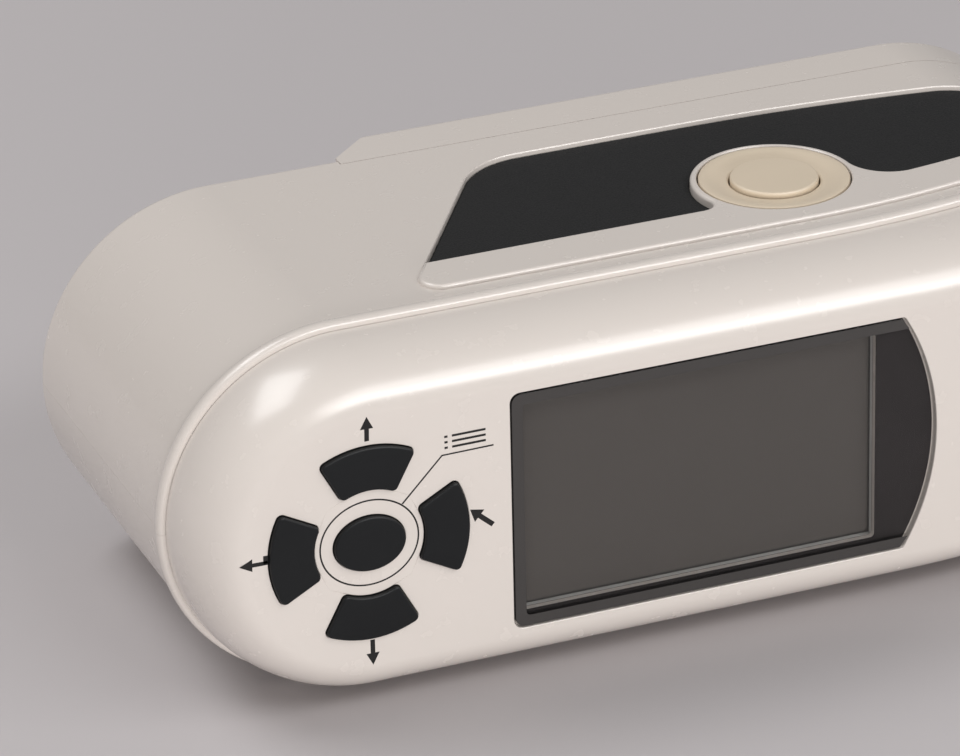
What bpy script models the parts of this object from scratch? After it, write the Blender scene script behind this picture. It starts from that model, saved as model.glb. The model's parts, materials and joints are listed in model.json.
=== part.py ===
"""Hand-held colorimeter, lying on its side.

X runs along the case from the keypad end to the measuring end, Y from the display
face back to the rear platform, and Z up through the two side shells.
All sizes are in metres.
"""

from math import asin, atan2, cos, pi, radians, sin, sqrt, tan

import bmesh
import bpy

# Case outline: its flat face, the end past the display, and the steps of its depth
FACE_WIDTH = 0.0474
NOSE_LENGTH = 0.0655
SEAM_DEPTH = 0.0170
STRIP_SETBACK = 0.0066
STRIP_WIDTH = 0.0106
GRIP_WIDTH = 0.0373
GRIP_REAR_MARGIN = 0.0130
BASE_SEAM_LIFT = 0.0029
RAMP_RISE = 0.0088
PIECE_GAP = 0.0003
OVERRUN = 0.0030
SINK = 0.0006
WELD = 0.000002

# The front of the case falls back towards the measuring end; places count from the nose's centre
RIM_SWEEP_RUN = 0.0459
RIM_SWEEP_RADIUS = 0.1800
FACE_SWEEP_RUN = 0.0332
FACE_SWEEP_RADIUS = 0.1250
GRIP_SWEEP_RUN = 0.0402

# Front cover
COVER_INSET = 0.0013
COVER_WALL = 0.0026
SHOULDER_WIDTH = 0.0088

# Side shells
BEAD_WIDTH = 0.0030
BEAD_PROUD = 0.0015
SHELL_WALL = 0.0034
SHELL_REAR_WALL = 0.0036
SHELL_REAR_RADIUS = 0.0045

# Raised strip along each side
STRIP_END_RADIUS = 0.0040
STRIP_PAST_NOSE = 0.0148
STRIP_TIP_LENGTH = 0.0050

# Black grip insert in each side
GRIP_CORNER_LEAD = 0.0021
GRIP_SLANT = radians(57.3)
GRIP_CORNER_RADIUS = 0.0155
GRIP_FALL_RUN = 0.0502
GRIP_FALL_RADIUS = 0.3360
GRIP_PAST_NOSE = 0.0128
GRIP_TIP_LENGTH = 0.0090
GRIP_SUNK = 0.0007
GRIP_THICKNESS = 0.0012

# Measuring button in the upper side
BUTTON_TO_NOSE = 0.0439
BUTTON_SETBACK = 0.0078
RING_RADIUS = 0.0137
RING_THICKNESS = 0.0023
RING_DISH = 0.0009
RING_LIP = 0.0012
COLLAR_WALL = 0.0012
COLLAR_FRONT_FILLET = 0.0020
COLLAR_NOSE_FILLET = 0.0080
CAP_RADIUS = 0.0080
CAP_PROUD = 0.0003
CAP_EDGE = 0.0006
CAP_LIP_WIDTH = 0.0014
CAP_LIP_THICKNESS = 0.0010
BUTTON_TRAVEL = 0.0012
STEM_RADIUS = 0.0025
STEM_LENGTH = 0.0025
PLUNGER_RADIUS = 0.0017
PLUNGER_LENGTH = 0.0032
PLUNGER_PROUD = 0.0018
SWITCH_SIZE = 0.0120
SWITCH_HEIGHT = 0.0042
SWITCH_BOARD_LENGTH = 0.0360
SWITCH_BOARD_WIDTH = 0.0200
SWITCH_POST_RADIUS = 0.0022
SWITCH_POST_MARGIN = 0.0030

# Display
LENS_LENGTH = 0.0807
LENS_BOW = 0.0063
LENS_EDGE_MARGIN = 0.0012
LENS_KEYPAD_SPACE = 0.0083
LENS_CORNER = 0.0018
LENS_THICKNESS = 0.0014
LENS_SUNK = 0.0001
LENS_SIDE_GAP = 0.0002
WINDOW_LEFT_MARGIN = 0.0022
WINDOW_TIP_MARGIN = 0.0130
WINDOW_SIDE_MARGIN = 0.0025
WINDOW_CORNER = 0.0008
GASKET_THICKNESS = 0.0006
GASKET_WIDTH = 0.0022
PANEL_MARGIN = 0.0021
PANEL_THICKNESS = 0.0034
PANEL_CORNER = 0.0010

# Keypad
KEYPAD_OFFSET = 0.0016
KEY_INNER_RADIUS = 0.0102
KEY_EDGE_MARGIN = 0.0054
KEY_HALF_ANGLE = radians(28.3)
KEY_CORNER = 0.0009
KEY_PROUD = 0.0010
KEY_CROWN = 0.0003
KEY_EDGE = 0.0005
KEY_LIP_WIDTH = 0.0008
KEY_LIP_THICKNESS = 0.0010
KEY_TRAVEL = 0.0008
KEY_GAP = 0.0003
CENTRE_KEY_LENGTH = 0.0130
CENTRE_KEY_WIDTH = 0.0102
MAT_THICKNESS = 0.0010
MAT_SKIRT_WIDTH = 0.0020
MAT_MARGIN = 0.0020

# Main board and what stands on it
BOARD_LEFT = 0.0120
BOARD_PAST_LENS = 0.0065
BOARD_SIDE_MARGIN = 0.0017
BOARD_CORNER = 0.0090
BOARD_DEPTH = 0.0086
BOARD_THICKNESS = 0.0016
BOSS_RADIUS = 0.0022
BOSS_LENS_GAP = 0.0032
BOSS_TIP_INSET = 0.0033
BOSS_SIDE_INSET = 0.0055
SWITCH_DOME_RADIUS = 0.0020
SWITCH_DOME_HEIGHT = 0.0009
PROCESSOR_SIZE = 0.0120
PROCESSOR_HEIGHT = 0.0014
PROCESSOR_X = 0.0900
BUZZER_RADIUS = 0.0060
BUZZER_HEIGHT = 0.0035
BUZZER_HOLE_RADIUS = 0.0010
BUZZER_HOLE_DEPTH = 0.0015
BUZZER_X = 0.1180

# Rear platform and measuring aperture
BASE_LAG = 0.0002
RAMP_LENGTH = 0.0096
BASE_WALL = 0.0025
BASE_RABBET = 0.0006
BASE_EDGE_RADIUS = 0.0050
RAMP_TOP_RADIUS = 0.0040
APERTURE_RADIUS = 0.0040
APERTURE_RING_MARGIN = 0.0010
APERTURE_RING_PROUD = 0.0005
APERTURE_FLANGE_WIDTH = 0.0020
APERTURE_FLANGE_THICKNESS = 0.0012
APERTURE_CONE_RADIUS = 0.0062

# Integrating sphere and the optics on it
FLANGE_CLEARANCE = 0.0019
FLANGE_WIDTH = 0.0035
FLANGE_THICKNESS = 0.0030
BLOCK_WALL = 0.0035
BLOCK_CAP = 0.0030
BLOCK_STEP = 0.0100
FOOT_INSET = 0.0060
FOOT_LENGTH = 0.0050
REAR_PORT_RADIUS = 0.0070
FRONT_PORT_RADIUS = 0.0045
NECK_RADIUS = 0.0110
LAMP_BOARD_MARGIN = 0.0008
LAMP_BOARD_INSET = 0.0055
LAMP_SIZE = 0.0030
LAMP_HEIGHT = 0.0012
TUBE_RADIUS = 0.0080
TUBE_LENGTH = 0.0140
TUBE_BORE = 0.0045
LENS_SEAT_RADIUS = 0.0062
LENS_SEAT_LENGTH = 0.0065
FOCUS_LENS_THICKNESS = 0.0034
FOCUS_LENS_EDGE = 0.0016
SENSOR_BOARD_SIZE = 0.0260
SENSOR_SIZE = 0.0060
SENSOR_HEIGHT = 0.0012

# Battery, its tray and its cover
TRAY_LEFT = 0.0125
TRAY_BASE_SPACE = 0.0022
TRAY_SIDE_MARGIN = 0.0067
TRAY_WALL = 0.0014
TRAY_DEPTH = 0.0205
TRAY_CORNER = 0.0035
BATTERY_THICKNESS = 0.0155
BATTERY_CORNER = 0.0020
CONTACT_WIDTH = 0.0050
CONTACT_THICKNESS = 0.0006
CONTACT_SPACING = 0.0120
CONTACT_HEIGHT = 0.0060
DOOR_THICKNESS = 0.0022
DOOR_LIP = 0.0012
DOOR_CORNER = 0.0040
HINGE_PIN_RADIUS = 0.0006
HINGE_PIN_LENGTH = 0.0010
THUMB_NOTCH_RADIUS = 0.0060
THUMB_NOTCH_DEPTH = 0.0008

# Power switch and data socket in the lower side
SIDE_BOARD_OFFSET = 0.0102
SIDE_BOARD_SETBACK = 0.0138
SIDE_BOARD_LENGTH = 0.0300
SIDE_BOARD_WIDTH = 0.0300
SLIDER_OFFSET = 0.0042
SLIDER_LENGTH = 0.0070
SLIDER_WIDTH = 0.0040
SLIDER_PROUD = 0.0008
SLIDER_TRAVEL = 0.0030
SLIDER_RIB = 0.0005
SLIDE_SWITCH_LENGTH = 0.0130
SLIDE_SWITCH_WIDTH = 0.0066
SLIDE_SWITCH_HEIGHT = 0.0030
TONGUE_SIZE = 0.0020
SOCKET_SETBACK = 0.0140
SOCKET_WIDTH = 0.0078
SOCKET_HEIGHT = 0.0040
SOCKET_WALL = 0.0003
SOCKET_CORNER = 0.0008

# Screws
BASE_SCREW_LAG = 0.0190
BASE_SCREW_INSET = 0.0090
BASE_SCREW_LIFT = 0.0069
SCREW_HEAD_RADIUS = 0.0026
SCREW_HEAD_HEIGHT = 0.0018
SCREW_SHANK_RADIUS = 0.0012
SCREW_SHANK_LENGTH = 0.0120
SCREW_SLOT_RADIUS = 0.0010
SCREW_SLOT_DEPTH = 0.0009
SCREW_BOSS_RADIUS = 0.0046
SCREW_BOSS_LENGTH = 0.0140
CASE_SCREW_HEAD_OUT = 0.0070
CASE_SCREW_LAG = 0.0100
CASE_SCREW_BUTTON_SPACE = 0.0243
CASE_SCREW_SETBACK = 0.0068
CASE_SCREW_REAR_MARGIN = 0.0075
NOSE_SCREW_CLEARANCE = 0.0036

# Counts and shares
ARC_STEPS = 10
SWEEP_STEPS = 6
SHOULDER_STEPS = 8
SHOULDER_INNER_STEPS = 4
EDGE_STEPS = 4
TURN_STEPS = 20
SMALL_TURN_STEPS = 10
LAMP_COUNT = 6
CROWN_INSET_SHARE = 0.4
HEAD_EDGE_SHARE = 0.8

# Places along the case that follow from the sizes above
CASE_RADIUS = FACE_WIDTH / 2 + SHOULDER_WIDTH + COVER_INSET
KEYPAD_X = CASE_RADIUS - KEYPAD_OFFSET
KEY_OUTER_RADIUS = FACE_WIDTH / 2 - KEY_EDGE_MARGIN
LENS_LEFT = KEYPAD_X + KEY_OUTER_RADIUS + LENS_KEYPAD_SPACE
LENS_TIP = LENS_LEFT + LENS_LENGTH
LENS_STRAIGHT_END = LENS_TIP - LENS_BOW
CASE_LENGTH = LENS_TIP + NOSE_LENGTH
NOSE_X = CASE_LENGTH - CASE_RADIUS
RIM_SWEEP_START = NOSE_X - RIM_SWEEP_RUN
FACE_SWEEP_START = NOSE_X - FACE_SWEEP_RUN
GRIP_SWEEP_START = NOSE_X - GRIP_SWEEP_RUN
GRIP_FALL_START = NOSE_X - GRIP_FALL_RUN
GRIP_STRAIGHT_END = NOSE_X + GRIP_PAST_NOSE
STRIP_STRAIGHT_END = NOSE_X + STRIP_PAST_NOSE
GRIP_CORNER_X = LENS_LEFT - GRIP_CORNER_LEAD
BUTTON_X = NOSE_X - BUTTON_TO_NOSE
BASE_LEFT = LENS_LEFT + BASE_LAG
TRAY_RIGHT = BASE_LEFT - TRAY_BASE_SPACE
SIDE_BOARD_X = CASE_RADIUS + SIDE_BOARD_OFFSET
SOCKET_X = SIDE_BOARD_X
SLIDER_X = CASE_RADIUS + SLIDER_OFFSET

# Widths and radii that follow
LENS_WIDTH = FACE_WIDTH - 2 * LENS_EDGE_MARGIN
WINDOW_LEFT = LENS_LEFT + WINDOW_LEFT_MARGIN
WINDOW_RIGHT = LENS_TIP - WINDOW_TIP_MARGIN
WINDOW_WIDTH = LENS_WIDTH - 2 * WINDOW_SIDE_MARGIN
BOARD_RIGHT = LENS_TIP + BOARD_PAST_LENS
BOARD_WIDTH = FACE_WIDTH - 2 * BOARD_SIDE_MARGIN
BOSS_LEFT_X = LENS_LEFT - BOSS_LENS_GAP
BOSS_RIGHT_X = LENS_TIP - BOSS_TIP_INSET
BOSS_OUT = LENS_WIDTH / 2 - BOSS_SIDE_INSET
TRAY_WIDTH = FACE_WIDTH - 2 * TRAY_SIDE_MARGIN
SHELL_INSET = BEAD_PROUD + SHELL_WALL
FLANGE_RADIUS = CASE_RADIUS - SHELL_INSET - FLANGE_CLEARANCE
BLOCK_RADIUS = FLANGE_RADIUS - FLANGE_WIDTH
SPHERE_RADIUS = BLOCK_RADIUS - BLOCK_WALL
BLOCK_LENGTH = SPHERE_RADIUS + BLOCK_CAP
BLOCK_STRAIGHT = BLOCK_LENGTH - BLOCK_STEP
FOOT_RADIUS = BLOCK_RADIUS - FOOT_INSET
LAMP_BOARD_RADIUS = FLANGE_RADIUS - LAMP_BOARD_MARGIN
LAMP_BOARD_BORE = BLOCK_RADIUS - LAMP_BOARD_INSET
APERTURE_RING_RADIUS = SPHERE_RADIUS - APERTURE_RING_MARGIN
APERTURE_RING_FLANGE = APERTURE_RING_RADIUS + APERTURE_FLANGE_WIDTH
BASE_SCREW_OUT = CASE_RADIUS - BASE_SCREW_INSET
BASE_SCREW_LEFT_X = BASE_LEFT + BASE_SCREW_LAG
NOSE_SCREW_X = NOSE_X - FLANGE_RADIUS - SCREW_BOSS_RADIUS - NOSE_SCREW_CLEARANCE
CASE_SCREW_LEFT_X = BASE_LEFT + CASE_SCREW_LAG
CASE_SCREW_RIGHT_X = BUTTON_X - CASE_SCREW_BUTTON_SPACE
CASE_SCREW_MID_X = (CASE_SCREW_LEFT_X + CASE_SCREW_RIGHT_X) / 2

# Depths that follow
STRIP_FRONT_DEPTH = SEAM_DEPTH + STRIP_SETBACK
STRIP_REAR_DEPTH = STRIP_FRONT_DEPTH + STRIP_WIDTH
GRIP_REAR_DEPTH = STRIP_REAR_DEPTH + GRIP_WIDTH
SHELL_REAR_DEPTH = GRIP_REAR_DEPTH + GRIP_REAR_MARGIN
BASE_SEAM_DEPTH = SHELL_REAR_DEPTH - BASE_SEAM_LIFT
BASE_REAR_DEPTH = SHELL_REAR_DEPTH + RAMP_RISE
BUTTON_DEPTH = STRIP_REAR_DEPTH + BUTTON_SETBACK
SLIDER_DEPTH = BUTTON_DEPTH
SOCKET_DEPTH = SLIDER_DEPTH + SOCKET_SETBACK
SIDE_BOARD_DEPTH = STRIP_REAR_DEPTH + SIDE_BOARD_SETBACK
CASE_SCREW_FRONT_DEPTH = STRIP_REAR_DEPTH + CASE_SCREW_SETBACK
CASE_SCREW_REAR_DEPTH = GRIP_REAR_DEPTH - CASE_SCREW_REAR_MARGIN
TRAY_FLOOR_DEPTH = SHELL_REAR_DEPTH - TRAY_DEPTH
GRIP_INSET = BEAD_PROUD + GRIP_SUNK
GRIP_FLOOR_INSET = GRIP_INSET + GRIP_THICKNESS + PIECE_GAP
COLLAR_RADIUS = RING_RADIUS + PIECE_GAP + COLLAR_WALL
BASE_INSET = BEAD_PROUD + SHELL_REAR_RADIUS - sqrt(
    SHELL_REAR_RADIUS ** 2 - (BASE_SEAM_DEPTH - SHELL_REAR_DEPTH + SHELL_REAR_RADIUS) ** 2)
LENS_SEAT_DEPTH = LENS_SUNK + LENS_THICKNESS + PIECE_GAP
KEY_LIP_DEPTH = COVER_WALL + PIECE_GAP
MAT_DEPTH = KEY_LIP_DEPTH + KEY_LIP_THICKNESS + KEY_TRAVEL + PIECE_GAP
GASKET_DEPTH = COVER_WALL + PIECE_GAP
PANEL_DEPTH = GASKET_DEPTH + GASKET_THICKNESS + PIECE_GAP
BOARD_REAR_DEPTH = BOARD_DEPTH + BOARD_THICKNESS
APERTURE_RING_REAR = BASE_REAR_DEPTH + APERTURE_RING_PROUD
APERTURE_RING_FRONT = BASE_REAR_DEPTH - BASE_WALL - PIECE_GAP - APERTURE_FLANGE_THICKNESS
SPHERE_DEPTH = APERTURE_RING_FRONT - PIECE_GAP - BLOCK_LENGTH
LAMP_BOARD_DEPTH = SPHERE_DEPTH - BLOCK_STRAIGHT - PIECE_GAP - BOARD_THICKNESS
TUBE_DEPTH = SPHERE_DEPTH - BLOCK_LENGTH - PIECE_GAP
SENSOR_BOARD_DEPTH = TUBE_DEPTH - TUBE_LENGTH - PIECE_GAP
RING_TOP = CASE_RADIUS
RING_SEAT = RING_TOP - RING_THICKNESS - PIECE_GAP
CAP_TOP = CASE_RADIUS + CAP_PROUD
CAP_LIP_TOP = RING_TOP - RING_THICKNESS - PIECE_GAP
STEM_END = CAP_LIP_TOP - CAP_LIP_THICKNESS - STEM_LENGTH
SWITCH_TOP = STEM_END - PIECE_GAP - PLUNGER_PROUD
SWITCH_BOARD_TOP = SWITCH_TOP - SWITCH_HEIGHT - PIECE_GAP
TRAY_FRONT_DEPTH = TRAY_FLOOR_DEPTH - TRAY_WALL
BATTERY_DEPTH = TRAY_FLOOR_DEPTH + PIECE_GAP
DOOR_DEPTH = SHELL_REAR_DEPTH - DOOR_THICKNESS
TRAY_REAR_DEPTH = SHELL_REAR_DEPTH - SHELL_REAR_WALL - PIECE_GAP
HINGE_X = TRAY_RIGHT - DOOR_THICKNESS / 2
HINGE_DEPTH = SHELL_REAR_DEPTH - DOOR_THICKNESS / 2
HINGE_REACH = TRAY_WIDTH / 2 + DOOR_LIP + HINGE_PIN_LENGTH
SIDE_WALL_OUT = CASE_RADIUS - BEAD_PROUD
SIDE_WALL_IN = CASE_RADIUS - SHELL_INSET
SLIDE_SWITCH_OUT = SIDE_WALL_IN - PIECE_GAP
SIDE_BOARD_OUT = SLIDE_SWITCH_OUT - SLIDE_SWITCH_HEIGHT - PIECE_GAP
BASE_SCREW_SEAT = BASE_SEAM_DEPTH + BASE_SCREW_LIFT
CASE_SCREWS = (
    (CASE_SCREW_LEFT_X, CASE_SCREW_FRONT_DEPTH),
    (CASE_SCREW_MID_X, CASE_SCREW_REAR_DEPTH),
    (CASE_SCREW_RIGHT_X, CASE_SCREW_FRONT_DEPTH),
    (NOSE_SCREW_X, CASE_SCREW_REAR_DEPTH),
)
BASE_SCREWS = (
    (BASE_SCREW_LEFT_X, BASE_SCREW_OUT),
    (BASE_SCREW_LEFT_X, -BASE_SCREW_OUT),
    (NOSE_SCREW_X, BASE_SCREW_OUT),
    (NOSE_SCREW_X, -BASE_SCREW_OUT),
)

# Finishes: colour, roughness and metallic value
WHITE_PLASTIC = ((0.66, 0.61, 0.57), 0.25, 0.0)
CREAM_PLASTIC = ((0.62, 0.56, 0.42), 0.40, 0.0)
BLACK_RUBBER = ((0.020, 0.020, 0.022), 0.70, 0.0)
BLACK_PLASTIC = ((0.03, 0.03, 0.03), 0.45, 0.0)
DARK_GLASS = ((0.04, 0.04, 0.04), 0.08, 0.0)
GREY_PANEL = ((0.10, 0.10, 0.10), 0.20, 0.0)
GREEN_BOARD = ((0.02, 0.16, 0.07), 0.50, 0.0)
WHITE_COATING = ((0.80, 0.80, 0.78), 0.90, 0.0)
CLEAR_GLASS = ((0.75, 0.80, 0.80), 0.05, 0.0)
STEEL = ((0.55, 0.55, 0.56), 0.30, 1.0)
BRASS = ((0.70, 0.55, 0.25), 0.30, 1.0)
BLUE_WRAP = ((0.05, 0.12, 0.35), 0.35, 0.0)


# Scene and object helpers

def clear_scene():
    for item in list(bpy.data.objects):
        bpy.data.objects.remove(item, do_unlink=True)


def make_frame():
    """The empty that stands the case on its lower side, centred over the origin."""
    frame = bpy.data.objects.new("instrument_frame", None)
    bpy.context.scene.collection.objects.link(frame)
    middle = (APERTURE_RING_REAR - KEY_PROUD) / 2
    frame.location = (-CASE_LENGTH / 2, -middle, CASE_RADIUS)
    return frame


def paint(item, finish):
    colour, roughness, metallic = finish
    material = bpy.data.materials.new(item.name + "_finish")
    material.use_nodes = True
    shader = material.node_tree.nodes["Principled BSDF"]
    shader.inputs["Base Color"].default_value = (*colour, 1.0)
    shader.inputs["Roughness"].default_value = roughness
    shader.inputs["Metallic"].default_value = metallic
    item.data.materials.clear()
    item.data.materials.append(material)


def add_mesh(name, points, faces, origin=(0, 0, 0)):
    """A closed mesh under the case frame, with its object placed at the given origin."""
    mesh = bpy.data.meshes.new(name)
    local = [tuple(p - o for p, o in zip(point, origin)) for point in points]
    mesh.from_pydata(local, [], faces)
    shape = bmesh.new()
    shape.from_mesh(mesh)
    bmesh.ops.remove_doubles(shape, verts=shape.verts, dist=WELD)
    bmesh.ops.recalc_face_normals(shape, faces=shape.faces)
    shape.to_mesh(mesh)
    shape.free()
    item = bpy.data.objects.new(name, mesh)
    bpy.context.scene.collection.objects.link(item)
    item.parent = bpy.data.objects["instrument_frame"]
    item.location = origin
    return item


def smooth(item, angle=radians(35)):
    item.data.shade_smooth()
    item.data.set_sharp_from_angle(angle=angle)


def combine(item, tool, operation):
    """Cut, join or intersect with a tool that stays hidden."""
    tool.hide_render = True
    tool.display_type = 'WIRE'
    change = item.modifiers.new(operation.lower() + "_" + tool.name, 'BOOLEAN')
    change.solver = 'EXACT'
    change.operation = operation
    change.object = tool
    return item


def cut(item, tool):
    return combine(item, tool, 'DIFFERENCE')


def join(item, tool):
    return combine(item, tool, 'UNION')


def keep_inside(item, tool):
    return combine(item, tool, 'INTERSECT')


# Outlines

def rounded(corners, steps=EDGE_STEPS):
    """Replace each corner (x, y, radius) of an outline by an arc of that radius."""
    outline = []
    count = len(corners)
    for index, (x, y, radius) in enumerate(corners):
        if radius == 0:
            outline.append((x, y))
            continue
        before = corners[index - 1]
        after = corners[(index + 1) % count]
        outline.extend(corner_arc((x, y), before, after, radius, steps))
    return outline


def corner_arc(corner, before, after, radius, steps):
    x, y = corner
    angle_in = atan2(before[1] - y, before[0] - x)
    angle_out = atan2(after[1] - y, after[0] - x)
    turn = (angle_out - angle_in + pi) % (2 * pi) - pi
    half = turn / 2
    reach = radius / abs(sin(half))
    centre = (x + reach * cos(angle_in + half), y + reach * sin(angle_in + half))
    side = 1 if turn > 0 else -1
    start = angle_in - side * pi / 2
    sweep = -side * (pi - abs(turn))
    arc = []
    for step in range(steps + 1):
        angle = start + sweep * step / steps
        arc.append((centre[0] + radius * cos(angle), centre[1] + radius * sin(angle)))
    return arc


def rectangle(left, right, low, high, radius=0, steps=EDGE_STEPS):
    corners = [(left, low, radius), (right, low, radius), (right, high, radius), (left, high, radius)]
    return rounded(corners, steps)


def centred_rectangle(centre, length, width, radius=0):
    x, y = centre
    return rectangle(x - length / 2, x + length / 2, y - width / 2, y + width / 2, radius)


def circle(centre, radius, steps=TURN_STEPS):
    turn = 2 * pi / steps
    return [(centre[0] + radius * cos(turn * i), centre[1] + radius * sin(turn * i)) for i in range(steps)]


def place(point, axis, height):
    """Put a flat point at a height along an axis; the rest follow in alphabetical order."""
    a, b = point
    return {"X": (height, a, b), "Y": (a, height, b), "Z": (a, b, height)}[axis]


# Solids

def loft(name, rings, origin=(0, 0, 0), strips=False):
    """Bridge rings of equal counts and close both ends."""
    points = [point for ring in rings for point in ring]
    count = len(rings[0])
    faces = []
    for level in range(len(rings) - 1):
        first = level * count
        for index in range(count):
            after = (index + 1) % count
            faces.append((first + index, first + after, first + count + after, first + count + index))
    last = (len(rings) - 1) * count
    faces.extend(end_faces(0, count, strips))
    faces.extend(end_faces(last, count, strips))
    return add_mesh(name, points, faces, origin)


def end_faces(first, count, strips):
    """One face, or strips between the mirrored sides of a ring that bends along X."""
    if not strips:
        return [tuple(first + index for index in range(count))]
    faces = []
    for index in range(count // 2):
        quad = [index, index + 1, (count - index - 1) % count, (count - index) % count]
        faces.append(tuple(first + corner for corner in dict.fromkeys(quad)))
    return faces


def prism(name, outline, axis, low, high, origin=(0, 0, 0)):
    rings = [[place(point, axis, height) for point in outline] for height in (low, high)]
    return loft(name, rings, origin)


def turned(name, profile, centre, axis, steps=TURN_STEPS, origin=(0, 0, 0), closed=False):
    """Turn a profile of (radius, height) round an axis through a flat centre."""
    rings = []
    for radius, height in profile:
        rings.append([place(point, axis, height) for point in circle(centre, radius, steps)])
    if not closed:
        return loft(name, rings, origin)
    points = [point for ring in rings for point in ring]
    levels = len(rings)
    faces = []
    for level in range(levels):
        for index in range(steps):
            after = (index + 1) % steps
            above = (level + 1) % levels
            faces.append((level * steps + index, level * steps + after,
                          above * steps + after, above * steps + index))
    return add_mesh(name, points, faces, origin)


def rod(name, centre, radius, axis, low, high, steps=SMALL_TURN_STEPS):
    return prism(name, circle(centre, radius, steps), axis, low, high)


# Case outline

def fall(x, start, radius):
    """How far an edge has swept back at x along an arc that starts at a given place."""
    run = min(max(0, x - start), radius)
    return radius - sqrt(radius ** 2 - run ** 2)


def rim_sweep(x):
    return fall(x, RIM_SWEEP_START, RIM_SWEEP_RADIUS)


def face_sweep(x):
    return fall(x, FACE_SWEEP_START, FACE_SWEEP_RADIUS)


def case_half(inset):
    """Upper half of the case outline seen from the front, from keypad tip to nose tip."""
    radius = CASE_RADIUS - inset
    points = []
    for step in range(ARC_STEPS + 1):
        angle = pi / 2 * step / ARC_STEPS
        points.append((CASE_RADIUS - radius * cos(angle), radius * sin(angle)))
    for step in range(SWEEP_STEPS):
        points.append((RIM_SWEEP_START + (NOSE_X - RIM_SWEEP_START) * step / SWEEP_STEPS, radius))
    for step in range(ARC_STEPS + 1):
        angle = pi / 2 * step / ARC_STEPS
        points.append((NOSE_X + radius * sin(angle), radius * cos(angle)))
    return points


def case_ring(inset, depth, rim_share=0.0, face_share=0.0):
    """A closed ring of the case at a depth, swept back by shares of the rim and face sweeps."""
    upper = case_half(inset)
    flat = upper + [(x, -z) for x, z in reversed(upper[1:-1])]
    ring = []
    for x, z in flat:
        back = rim_share * rim_sweep(x) + face_share * face_sweep(x)
        ring.append((x, depth + back, z))
    return ring


def case_band(name, outer_inset, inner_inset):
    """A wall that follows the sides of the case between two insets."""
    front = SEAM_DEPTH
    rear = SHELL_REAR_DEPTH
    rings = [case_ring(outer_inset, front), case_ring(outer_inset, rear),
             case_ring(inner_inset, rear), case_ring(inner_inset, front)]
    points = [point for ring in rings for point in ring]
    count = len(rings[0])
    levels = len(rings)
    faces = []
    for level in range(levels):
        above = (level + 1) % levels
        for index in range(count):
            after = (index + 1) % count
            faces.append((level * count + index, level * count + after,
                          above * count + after, above * count + index))
    return add_mesh(name, points, faces)


# Front cover with its key holes and display seat

def cover_side(wall, steps):
    """Rings from the seam, over the shoulder, to the flat face."""
    reach = SHOULDER_WIDTH - wall
    rise = SEAM_DEPTH - PIECE_GAP / 2 - wall
    rings = []
    for step in range(steps + 1):
        angle = pi / 2 * step / steps
        inset = COVER_INSET + SHOULDER_WIDTH - reach * cos(angle)
        depth = wall + rise * (1 - sin(angle))
        share = sin(angle)
        rings.append(case_ring(inset, depth, 1 - share, share))
    return rings


def key_angles():
    return {"key_right": 0.0, "key_top": pi / 2, "key_left": pi, "key_bottom": -pi / 2}


def sector_outline(angle, grow):
    """One of the four outer keys, grown or drawn in on every side."""
    inner = KEY_INNER_RADIUS - grow
    outer = KEY_OUTER_RADIUS + grow
    corner = KEY_CORNER + grow
    side = KEY_CORNER + KEY_LIP_WIDTH - grow
    inner_half = KEY_HALF_ANGLE + asin(grow / inner)
    outer_half = KEY_HALF_ANGLE + asin(grow / outer)
    corners = []
    for step in range(-EDGE_STEPS, EDGE_STEPS + 1):
        turn = outer_half * step / EDGE_STEPS
        corners.append((outer, angle + turn, corner if abs(step) == EDGE_STEPS else 0))
    for step in range(EDGE_STEPS, -EDGE_STEPS - 1, -EDGE_STEPS // 2):
        turn = inner_half * step / EDGE_STEPS
        corners.append((inner, angle + turn, max(side, corner) / 2 if abs(step) == EDGE_STEPS else 0))
    flat = [(KEYPAD_X + r * cos(a), r * sin(a), c) for r, a, c in corners]
    return rounded(flat, 2)


def centre_outline(grow):
    turn = 2 * pi / TURN_STEPS
    length = CENTRE_KEY_LENGTH / 2 + grow
    width = CENTRE_KEY_WIDTH / 2 + grow
    return [(KEYPAD_X + length * cos(turn * i), width * sin(turn * i)) for i in range(TURN_STEPS)]


def lens_outline(grow):
    """The display window: square corners at the keypad end and a shallow arc at the other."""
    half = LENS_WIDTH / 2
    rise = LENS_TIP - LENS_STRAIGHT_END
    radius = (half ** 2 + rise ** 2) / (2 * rise)
    centre = LENS_TIP - radius
    reach = half + grow
    radius += grow
    limit = asin(reach / radius)
    corners = [(LENS_LEFT - grow, reach, LENS_CORNER), (LENS_LEFT - grow, -reach, LENS_CORNER)]
    for step in range(-ARC_STEPS // 2, ARC_STEPS // 2 + 1):
        turn = limit * step / (ARC_STEPS // 2)
        sharp = abs(step) == ARC_STEPS // 2
        corners.append((centre + radius * cos(turn), radius * sin(turn), LENS_CORNER / 2 if sharp else 0))
    return rounded(corners, 2)


def window_outline(grow):
    return rectangle(WINDOW_LEFT - grow, WINDOW_RIGHT + grow,
                     -WINDOW_WIDTH / 2 - grow, WINDOW_WIDTH / 2 + grow, WINDOW_CORNER, 2)


def board_bosses():
    return [(x, z) for x in (BOSS_LEFT_X, BOSS_RIGHT_X) for z in (BOSS_OUT, -BOSS_OUT)]


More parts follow.
